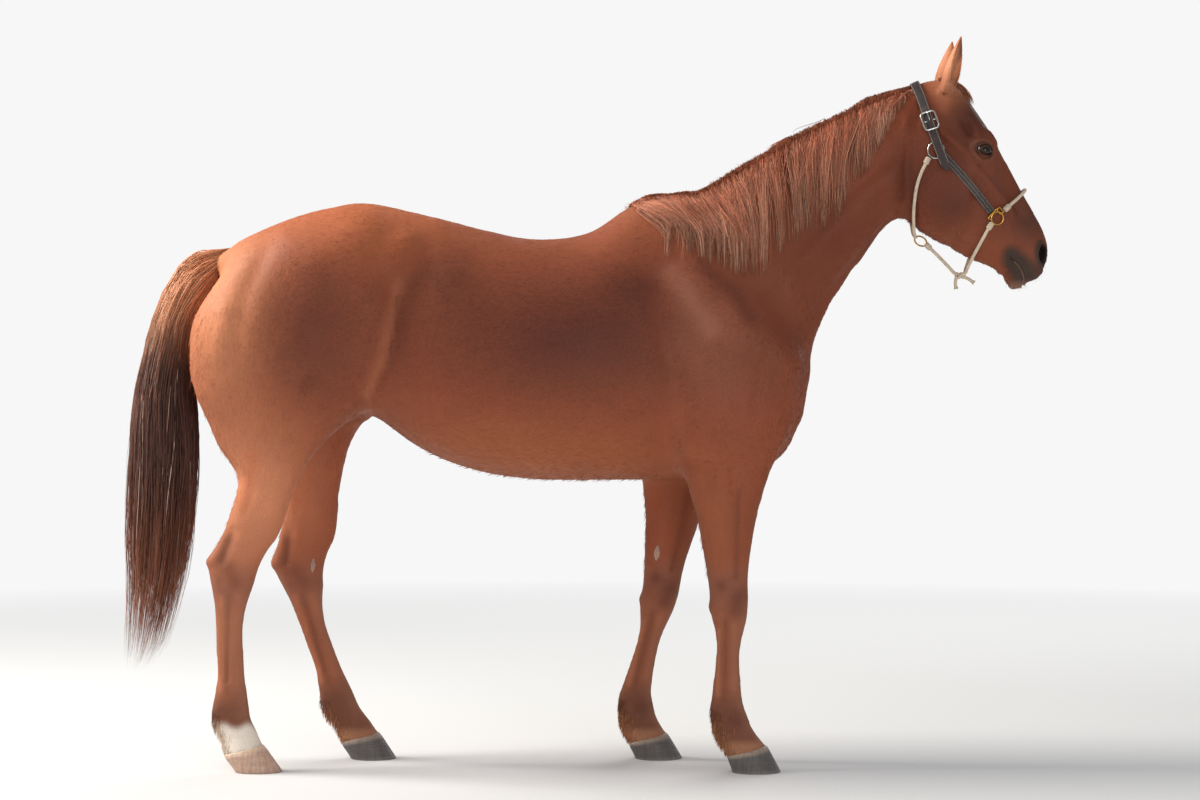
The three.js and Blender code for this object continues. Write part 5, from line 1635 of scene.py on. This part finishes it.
def in_tail(down, across, beside):
    """Places in the tail's envelope: down its length, across from -1 (outer) to 1 (inner), and beside."""
    row = between(down, TAIL_LENGTHS, TAIL)
    x = (row[0] + row[2]) / 2 + across * (row[2] - row[0]) / 2
    z = (row[1] + row[3]) / 2 + across * (row[3] - row[1]) / 2
    return np.stack([x, beside * row[4], z], -1)


def build_tail():
    count, locks, steps = 5400, 110, 14
    total = TAIL_LENGTHS[-1]
    angle = random.uniform(0, tau, locks)
    radius = np.sqrt(random.uniform(0.02, 1, locks)) * 0.93
    lock_end = total * (0.52 + 0.475 * random.beta(1.6, 1.25, locks))
    mine = random.integers(0, locks, count)
    start = chance(count) ** 1.5 * 0.32
    end = lock_end[mine] * random.uniform(0.72, 1.0, count)
    stray = chance(count) < 0.18
    loose = chance(count, 1) < 0.45
    end = np.where(stray, start + random.uniform(0.18, 0.7, count), end)
    veil = loose[:, 0] & (chance(count) < 0.35)
    end = np.where(veil, total * random.uniform(0.78, 1.0, count), end)
    end = np.minimum(np.maximum(end, start + 0.12), total * 0.995)
    t = np.linspace(0, 1, steps)[None]
    down = start[:, None] + (end - start)[:, None] * t
    a, b = radius[mine] * np.cos(angle[mine]), radius[mine] * np.sin(angle[mine])
    spread = random.normal(0, 0.22, (2, count)) * np.where(stray, 1.5, 1)
    gather = 1 - np.where(loose, 0.35, 0.82) * smooth(0.3, 0.95, t)
    across = a[:, None] + spread[0][:, None] * gather
    beside = b[:, None] + spread[1][:, None] * gather
    far = np.hypot(across, beside)
    keep = np.minimum(1, 0.97 / np.maximum(far, 1e-6))
    leave = smooth(0, 0.10, down - start[:, None])
    across, beside = (lerp(TAIL_CORE * v / np.maximum(far, 0.3), v * keep, leave) for v in (across, beside))
    paths = in_tail(down, across, beside)
    phase = random.uniform(0, tau, locks)[mine][:, None]
    swing = 0.006 * smooth(0.15, 0.6, t) * (1 - 0.5 * smooth(0.8, 1, t))
    paths[:, :, 1] += swing * np.sin(phase + down * 17)
    paths[:, :, 0] = np.maximum(paths[:, :, 0] + swing * 0.6 * np.cos(phase * 2 + down * 14), -1.2495)
    widths = tapered(count, steps, random.uniform(1.3, 3.2, count) * np.where(veil, 0.6, 1) * MM, 0.8, 0.18)
    # top is golden hair, partly painted sunlight; edge is a painted sheen on the tail's rim
    top, core_dark = srgb(230, 158, 114), srgb(42, 33, 31)
    edge, ends = srgb(184, 130, 112), srgb(190, 116, 82)
    sheen_rim = smooth(0.55, 1.0, np.hypot(across, beside))[:, :, None]
    outer = smooth(0.2, -0.8, across)[:, :, None]
    height = paths[:, :, 2][:, :, None]
    colour = lerp(core_dark, srgb(104, 58, 48), 0.5 * chance(count, 1, 1))
    # paler hairs round the rim, most on the outer side: painted sheen
    colour = lerp(colour, edge, 0.6 * sheen_rim * chance(count, 1, 1) * (0.4 + 0.6 * outer))
    # golden at the top of the tail: partly the hair's colour, partly painted sunlight
    colour = lerp(colour, top, smooth(1.04, 1.34, height) * random.uniform(0.6, 1, (count, 1, 1)))
    colour = lerp(colour, ends, smooth(0.86, 0.36, height) * random.uniform(0.1, 1, (count, 1, 1)))
    pale = (chance(count, 1, 1) < 0.02) * smooth(1.25, 1.1, height)
    colour = lerp(colour, srgb(214, 186, 170), 0.8 * pale) * random.uniform(0.6, 1.4, (count, 1, 1))
    hair_pieces("tail_hair", paths, widths, colour, hair_material("tail_hair", 0.45), "tail_hair", ("tail",))


# ---------- short coat ----------

def lie_of_coat(points, normals):
    """The way the hair points: back and down the body, down the neck and legs, and down the face."""
    x, y, z = points.T
    way = np.tile([-1.0, 0, -0.28], (len(points), 1))

    def turn(where, direction):
        nonlocal way
        way = lerp(way, direction, np.clip(where, 0, 1)[:, None])

    turn(smooth(0.25, 0.5, x) * (z > 0.9), [-0.62, 0, -0.8])
    turn(smooth(0.48, 0.60, x) * smooth(1.25, 1.1, z), [-0.1, 0, -1])
    turn(smooth(-0.62, -0.9, x), [-0.35, 0, -0.95])
    turn(smooth(0.84, 0.70, z) * ((x > 0.05) | (x < -0.55)), [-0.12, 0, -1])
    turn(smooth(0.90, 1.0, x) * (z > 1.25), [0.42, 0, -0.9])
    for base, tip, _ in EARS.values():
        beyond = (np.array(tip) * 1.15 - np.array(base) * 0.15) * MM - points
        turn(smooth(1.83, 1.86, z) * (y * base[1] > 0), unit(beyond))
    way[:, 1] += np.where(z > 0.8, 0.0, 0.1) * np.sign(y)
    way -= normals * np.sum(way * normals, 1, keepdims=True)
    return unit(way)


def scattered(skin_data, density, count):
    """Places spread at random over the skin, more of them where the density is higher."""
    points, normals, faces = skin_data
    corners = points[faces]
    middle = corners.mean(1)
    area = np.linalg.norm(np.cross(corners[:, 1] - corners[:, 0], corners[:, 2] - corners[:, 0]), axis=1)
    weight = area * density(middle, unit(normals[faces].mean(1)))
    pick = np.searchsorted(np.cumsum(weight) / weight.sum(), chance(count))
    pick = np.clip(pick, 0, len(faces) - 1)
    u, v = chance(2, count, 1)
    flip = u + v > 1
    u, v = np.where(flip, 1 - u, u), np.where(flip, 1 - v, v)
    a, b, c = (corners[pick, i] for i in range(3))
    na, nb, nc = (normals[faces[pick, i]] for i in range(3))
    return a + (b - a) * u + (c - a) * v, unit(na + (nb - na) * u + (nc - na) * v)


def tufts(points, normals, long, wide, lift):
    """Closed slivers of hair that lie along the coat: two sides over a ridge, an underside and a root.
    Returns their points, faces, and corners for the map."""
    n = len(points)
    way = lie_of_coat(points, normals)
    way = unit(way + np.cross(normals, way) * random.normal(0, 0.28, (n, 1)))
    side = np.cross(normals, way)
    long, wide, lift = long[:, None], wide[:, None], lift[:, None]
    root = points - normals * 0.0008
    ridge = root + normals * (wide * 0.28 + (0.0008 + lift * long) * 0.25) + way * long * 0.25
    tip = points + way * long + normals * lift * long
    places = np.stack([root - side * wide / 2, root + side * wide / 2, ridge, tip], 1)
    faces = np.array([(0, 3, 2), (2, 3, 1), (0, 1, 3), (0, 2, 1)])
    within = np.array([(0, 0), (1, 0), (0.5, 0.3), (0.5, 1)])
    every = (np.arange(n)[:, None, None] * 4 + faces).reshape(-1, 3)
    return places.reshape(-1, 3), every, (np.repeat(np.arange(n), 12), np.tile(within[faces.ravel()], (n, 1)))


def body_density(middle, normals):
    """How thick the tufts stand: finer and thicker on the head and legs, none round the eyes, in the nostrils
    and ears, at the tips of the ears and on the coronets."""
    x, _, z = middle.T
    small = (z < 0.62) | ((x > 0.93) & (z > 1.25))
    density = np.where(small, 3.2, np.where(x > 0.75, 1.8, 1.0))
    bare = near_eye(middle, 26 * MM) | (z < 0.06)
    bare |= (x > 1.21) & (to_path(side_view(middle), NOSTRIL) < 14)
    for side in EARS:
        base, up, _, ahead = ear_axes(side)
        rel = middle / MM - base
        inside = (rel @ up > 0) & (np.linalg.norm(rel, axis=1) < 150) & (rel @ ahead < 24)
        bare |= inside & (normals @ ahead > 0.25)
        bare |= np.linalg.norm(middle / MM - EARS[side][1], axis=1) < 9
    return np.where(bare, 0, density)


COAT_PIECES, TUFTS = 3, 43000  # how many pieces, and tufts in each


def body_coat(skin_data, material):
    for letter in LETTERS[:COAT_PIECES]:
        points, normals = scattered(skin_data, body_density, TUFTS)
        x, _, z = points.T
        small = np.clip(smooth(0.80, 0.55, z) + smooth(0.88, 1.0, x) * (z > 1.25), 0, 1)
        ear = smooth(1.82, 1.86, z)
        long = lerp(lerp(15, 7, small), 4, ear) * random.uniform(0.7, 1.35, TUFTS) * MM
        wide = lerp(lerp(2.6, 1.5, small), 1.1, ear) * random.uniform(0.7, 1.3, TUFTS) * MM
        lift = random.uniform(0.02, 0.06, TUFTS) * (1 - 0.5 * ear)
        colours = coat_colour(points, normals) * random.uniform(0.86, 1.17, (TUFTS, 1))
        places, faces, corners = tufts(points, normals, long, wide, lift)
        name = f"coat_{letter}"
        mesh = new_mesh(name, places, faces)
        piece(name, mesh, np.repeat(colours, 4, 0), material)
        add_map(mesh, unwrapped(points), corners)
        # a tuft takes the skin's light, so that the coat looks even
        mesh.attributes.new("custom_normal", "FLOAT_VECTOR", "POINT").data.foreach_set(
            "vector", np.repeat(normals, 4, 0).astype(np.float32).ravel())


# ---------- single hairs and fringes ----------

CORONET_HAIRS, FETLOCK_HAIRS, CREST_HAIRS, UNDER_HAIRS = 620, 760, 1300, 1800


def on_skin(tree, places):
    """The nearest points of the skin to some places, and the skin's normals there."""
    found = [tree.find_nearest(Vector(p)) for p in places]
    return np.array([f[0] for f in found]), np.array([f[1] for f in found])


def wisps(roots, ways, long, droop, steps=6, curl=0.10):
    """Lines of free hairs that leave their roots along ways and droop."""
    n = len(roots)
    long = np.broadcast_to(long, n)[:, None, None]
    t = np.linspace(0, 1, steps)[None, :, None]
    bend = random.normal(0, curl, (n, 1, 3))
    down = np.array([0, 0, -1.0]) * np.broadcast_to(droop, n)[:, None, None]
    return roots[:, None] + long * (ways[:, None] * t + (down + bend) * t**2)


def build_forelock(tree, material):
    """Short hair over the forehead. The tree is the skin without its ears, on which hair would catch."""
    count, steps = 420, 7
    y = random.normal(0, 0.010, count).clip(-0.02, 0.02)
    x = random.uniform(0.952, 1.004, count)
    roots, _ = on_skin(tree, np.stack([x, y, np.full(count, 1.87)], 1))
    long = random.uniform(0.035, 0.085, count)
    t = np.linspace(0, 1, steps)[None]
    line = roots[:, None] + long[:, None, None] * t[..., None] * unit([0.47, 0, -0.88])
    line[:, :, 1] += (roots[:, 1] * 0.35)[:, None] * t + random.normal(0, 0.004, (count, 1)) * t
    near, out = on_skin(tree, line.reshape(-1, 3))
    rise = 0.004 + 0.008 * np.sin(np.pi * np.clip(t * 0.8 + 0.1, 0, 1))
    rise = rise * random.uniform(0.2, 1.2, (count, 1))
    paths = (near + out * np.maximum(rise, 0.001).reshape(-1, 1)).reshape(count, steps, 3)
    colours = lerp(srgb(120, 68, 48), srgb(206, 132, 92), chance(count, 1))
    widths = tapered(count, steps, random.uniform(1.0, 2.2, count) * MM)
    hair_pieces("forelock", paths, widths, colours, material, "mane_hair")


def build_ear_hair(skin_data, tree, material):
    """Fine pale hair inside the ears, along their rims and about their roots."""
    hairs = Hairs()
    for side in EARS:
        base, up, across, ahead = ear_axes(side)

        def in_ear(middle, normals):
            rel = middle / MM - base
            return ((np.abs(rel @ across) < 30) & (rel @ up > -6) & (rel @ up < 118)
                    & (np.abs(rel @ ahead) < 40) & (normals @ ahead > 0.2))

        points, normals = scattered(skin_data, in_ear, 560)
        height = (points / MM - base) @ up
        way = unit(up * 0.9 + normals * 0.16 + ahead * 0.06 + random.normal(0, 0.12, points.shape))
        long = lerp(0.014, 0.006, np.clip(height / 110, 0, 1)) * random.uniform(0.6, 1.2, len(points))
        free = [tree.ray_cast(Vector(p + n * 0.0006), Vector(w), far)[0] is None
                for p, n, w, far in zip(points, normals, way, long * 1.15)]
        points, normals, way, long = points[free], normals[free], way[free], long[free]
        n = len(points)
        paths = wisps(points - normals * 0.0005, way, long, 0.1, 5)
        hairs.add(paths, random.uniform(0.25, 0.55, n),
                  lerp(srgb(206, 136, 100), srgb(240, 200, 168), chance(n, 1)))
    hairs.build("ear_hair", material)


# Places about the left side's lips and chin where feelers grow. The right side mirrors them.
FEELERS = [(1.165, 0.03, 1.30), (1.19, 0.03, 1.296), (1.14, 0.03, 1.31), (1.225, 0.035, 1.31),
           (1.235, 0.03, 1.335), (1.11, 0.028, 1.33)]


def build_lashes(tree, material):
    """Lashes on the upper lids, and a few long feelers about the lips and chin."""
    hairs, dark = Hairs(), srgb(44, 32, 27)
    count = 64
    for side in EYE:
        centre, forward, up, out = eye_frame(side)
        u = np.linspace(-17, 19, count) + random.normal(0, 0.3, count)
        v = LID_TALL * (1 - np.abs(u / LID_WIDE) ** 2.1) + 2.4
        roots, _ = on_skin(tree, centre + (u[:, None] * forward + v[:, None] * up + 22 * out) * MM)
        way = unit(out * 0.95 - up * 0.18 + forward * (u / 60)[:, None] + random.normal(0, 0.05, (count, 3)))
        hairs.add(wisps(roots, way, random.uniform(0.007, 0.012, count), 0.45, 6, 0.03), 0.55, dark)
        spots = np.repeat(FEELERS, 3, 0) * (1, SIDES[side], 1)
        spots = spots + random.normal(0, 0.006, spots.shape)
        roots, normals = on_skin(tree, spots)
        way = unit(normals * 0.8 + [0.1, 0, -0.8] + random.normal(0, 0.2, roots.shape))
        hairs.add(wisps(roots, way, random.uniform(0.007, 0.015, len(spots)), 0.2, 6, 0.06), 0.3, dark)
    hairs.build("lashes", material)


def under(middle, normals):
    """How thick the fringes stand under the jaw and belly, and behind the thighs, gaskins and forearms."""
    x, y, z = middle.T
    back, _, down = -normals.T
    jaw = (x > 0.86) & (x < 1.15) & (z < 1.50) & (z > 1.28) & (down > 0.35) & (np.abs(y) < 0.06)
    belly = (x > -0.55) & (x < 0.2) & (z < 0.86) & (z > 0.7) & (down > 0.8) & (np.abs(y) < 0.10)
    thigh = (x < -0.80) & (z > 0.78) & (z < 1.22) & (back > 0.55)
    gaskin = (x < -0.75) & (z > 0.56) & (z < 0.80) & (back > 0.7)
    forearm = (x > 0.0) & (x < 0.45) & (z > 0.52) & (z < 0.74) & (back > 0.75)
    return jaw * 5.0 + belly * 0.8 + thigh * 0.9 + gaskin * 1.2 + forearm * 1.2


def build_fringes(skin_data, tree, material):
    """Longer hair on the fetlocks and round the coronets, along the crest, and where under() says."""
    hairs = Hairs()

    def lay(points, way, long, wide, droop, shade, curl=0.08):
        n = len(points)
        paths = wisps(points - way * 0.001, way, long, droop, 5, curl)
        hairs.add(paths, wide * random.uniform(0.7, 1.3, n), shade * random.uniform(0.8, 1.25, (n, 1)))

    for leg in LEGS:
        coronet = coronet_level(leg)
        hoof, fetlock = on_leg(leg, coronet), on_leg(leg, coronet - 1)
        n = CORONET_HAIRS
        turn = random.uniform(0, tau, n)
        off = np.stack([60 * np.cos(turn), 60 * np.sin(turn),
                        9 + HEEL_DROP * np.cos(turn) + random.uniform(0, 9, n)], 1)
        roots, normals = on_skin(tree, (hoof + off) * MM)
        pale = srgb(232, 220, 204) if leg == "hind_right" else srgb(200, 142, 104)
        long = random.uniform(0.009, 0.018, n)
        shade = lerp(coat_colour(roots, normals), pale, random.uniform(0.1, 0.8, (n, 1)))
        lay(roots, unit(normals * 0.2 + [0.16, 0, -1]), long, 1.0, 0.1, shade, 0.03)
        n = FETLOCK_HAIRS
        turn = math.pi + random.normal(0, 0.55, n)
        level = random.beta(1.6, 1.4, n)
        off = np.stack([70 * np.cos(turn), 70 * np.sin(turn), 4 - 22 * level + random.normal(0, 7, n)], 1)
        roots, normals = on_skin(tree, (fetlock + np.outer(level, hoof - fetlock) * 0.85 + off) * MM)
        pale = srgb(226, 200, 176) if leg == "hind_right" else srgb(206, 140, 98)
        share = random.uniform(0.15, 1, (n, 1)) * smooth(0.05, 0.45, level)[:, None]
        long = random.uniform(0.012, 0.030, n) * (1 - 0.4 * level)
        shade = lerp(coat_colour(roots, normals), pale, share)
        lay(roots, unit(normals * 0.16 + [-0.06, 0, -1]), long, 0.9, 0.1, shade, 0.05)

    n = CREST_HAIRS
    x = random.uniform(0.11, 0.885, n)
    roots = np.stack([x, random.normal(0, 0.010, n), np.interp(x, MANE[:, 0], MANE[:, 1]) - 0.018], 1)
    way = unit(np.stack([random.normal(-0.7, 0.3, n), random.normal(-0.3, 0.5, n), np.full(n, 0.9)], 1))
    long = random.uniform(0.008, 0.017, n)
    lay(roots, way, long, 0.6, 0.35, lerp(srgb(150, 84, 56), srgb(214, 140, 100), chance(n, 1)), 0.3)

    n = UNDER_HAIRS
    points, normals = scattered(skin_data, under, n)
    jaw = points[:, 0] > 0.8
    colour = lerp(coat_colour(points, normals), srgb(206, 146, 108), random.uniform(0, 0.5, (n, 1)))
    way = unit(lie_of_coat(points, normals) + normals * np.where(jaw, 0.14, 0.35)[:, None])
    lay(points, way, random.uniform(0.010, 0.020, n) * np.where(jaw, 0.5, 1), 0.9, 0.15, colour)
    hairs.build("fringe", material)


# ---------- stage ----------

ROOM = (0.93, 0.93, 0.93)  # what the camera sees round the horse
FLOOR_HALF = 14.0
# Lamps that face the horse: name, place, size, watts, colour.
LAMPS = [("key", (-4.8, 0.2, 4.6), 2.6, 430, (1, 0.96, 0.9)),
         ("fill", (2.5, -9.0, 1.8), 3.0, 180, (1, 0.98, 0.96)),
         ("back", (2.0, 5.0, 3.5), 3.5, 80, (1, 0.98, 0.96))]


def floor_material():
    """Pale matt floor, which fades into the pale room far from the horse."""
    nodes = Nodes(bpy.data.materials.new("floor"))
    nodes.finish(Base_Color=(0.8, 0.8, 0.79), Roughness=0.9)
    far = nodes.add("ShaderNodeVectorMath", {0: nodes.place()}, operation="LENGTH").outputs["Value"]
    nodes.to_camera(nodes.shader, nodes.add("ShaderNodeEmission", {"Color": ROOM}), "Material Output",
                    nodes.spread(far, 0, 1, 2.4, 7.0))
    return nodes.owner


def stage():
    """The floor, the light and the room."""
    scene = bpy.context.scene
    scene.view_settings.view_transform = "Standard"
    scene.world = bpy.data.worlds.new("room")
    nodes = Nodes(scene.world)
    soft = nodes.tree.nodes["Background"]
    nodes.feed(soft.inputs["Color"], (0.93, 0.96, 1))
    nodes.feed(soft.inputs["Strength"], 0.42)
    nodes.to_camera(soft, nodes.add("ShaderNodeBackground", {"Color": ROOM, "Strength": 1}), "World Output")

    corners = [(u * FLOOR_HALF, v * FLOOR_HALF, 0) for u, v in ((-1, -1), (1, -1), (1, 1), (-1, 1))]
    floor = linked("floor", new_mesh("floor", corners, np.array([[0, 1, 2, 3]])))
    floor.data.materials.append(floor_material())

    for name, place, size, watts, colour in LAMPS:
        light = bpy.data.lights.new(name, "AREA")
        light.size = size
        light.energy = watts
        light.color = colour
        lamp = linked(name, light)
        lamp.location = place
        lamp.rotation_euler = (Vector((0, 0, 1.0)) - Vector(place)).to_track_quat("-Z", "Y").to_euler()


def camera():
    """The photograph's view, from the horse's right."""
    data = bpy.data.cameras.new("camera")
    data.lens = 88.8
    data.sensor_width = 36
    made = linked("camera", data)
    made.location = (0.04, -8.0, 1.068)
    made.rotation_euler = (math.pi / 2 - math.atan(30 / 2960), 0, 0)
    bpy.context.scene.camera = made


camera()
build_halter()
stage()
SKIN = skin_material()
FLESH = [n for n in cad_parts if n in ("trunk", "neck", "head") or n.startswith("ear_")
         or n.endswith(("_upper", "_cannon", "_pastern"))]
skin, nostrils, bare_tree = build_skin()
skin_points, skin_normals = points_of(skin), normals_of(skin)
# near black deep in the nostrils: painted shade in the cavity
skin_colour = lerp(coat_colour(skin_points, skin_normals), srgb(22, 16, 15), nostrils[:, None])
piece("skin", skin, skin_colour, SKIN, FLESH)
tree = BVHTree.FromPolygons(skin_points.tolist(), [tuple(p.vertices) for p in skin.polygons])
build_mane(Reach(tree, (0.0, 1.0), (1.2, 1.92)), tree)
build_tail()
triangles = np.concatenate([f if f.shape[1] == 3 else np.concatenate([f[:, :3], f[:, [0, 2, 3]]])
                            for f in faces_of(skin)])
SKIN_DATA = skin_points, skin_normals, triangles
COAT = hair_material("coat_hair", 0.5, 0.05, 0.22)
body_coat(SKIN_DATA, COAT)
build_forelock(bare_tree, COAT)
build_ear_hair(SKIN_DATA, tree, COAT)
build_lashes(tree, COAT)
build_fringes(SKIN_DATA, tree, COAT)
WET = eye_material()
for side in EYE:
    build_eye(side, WET)
HORN = horn_material()
for leg in LEGS:
    build_hoof(leg, HORN)
build_chestnuts(tree, HORN)
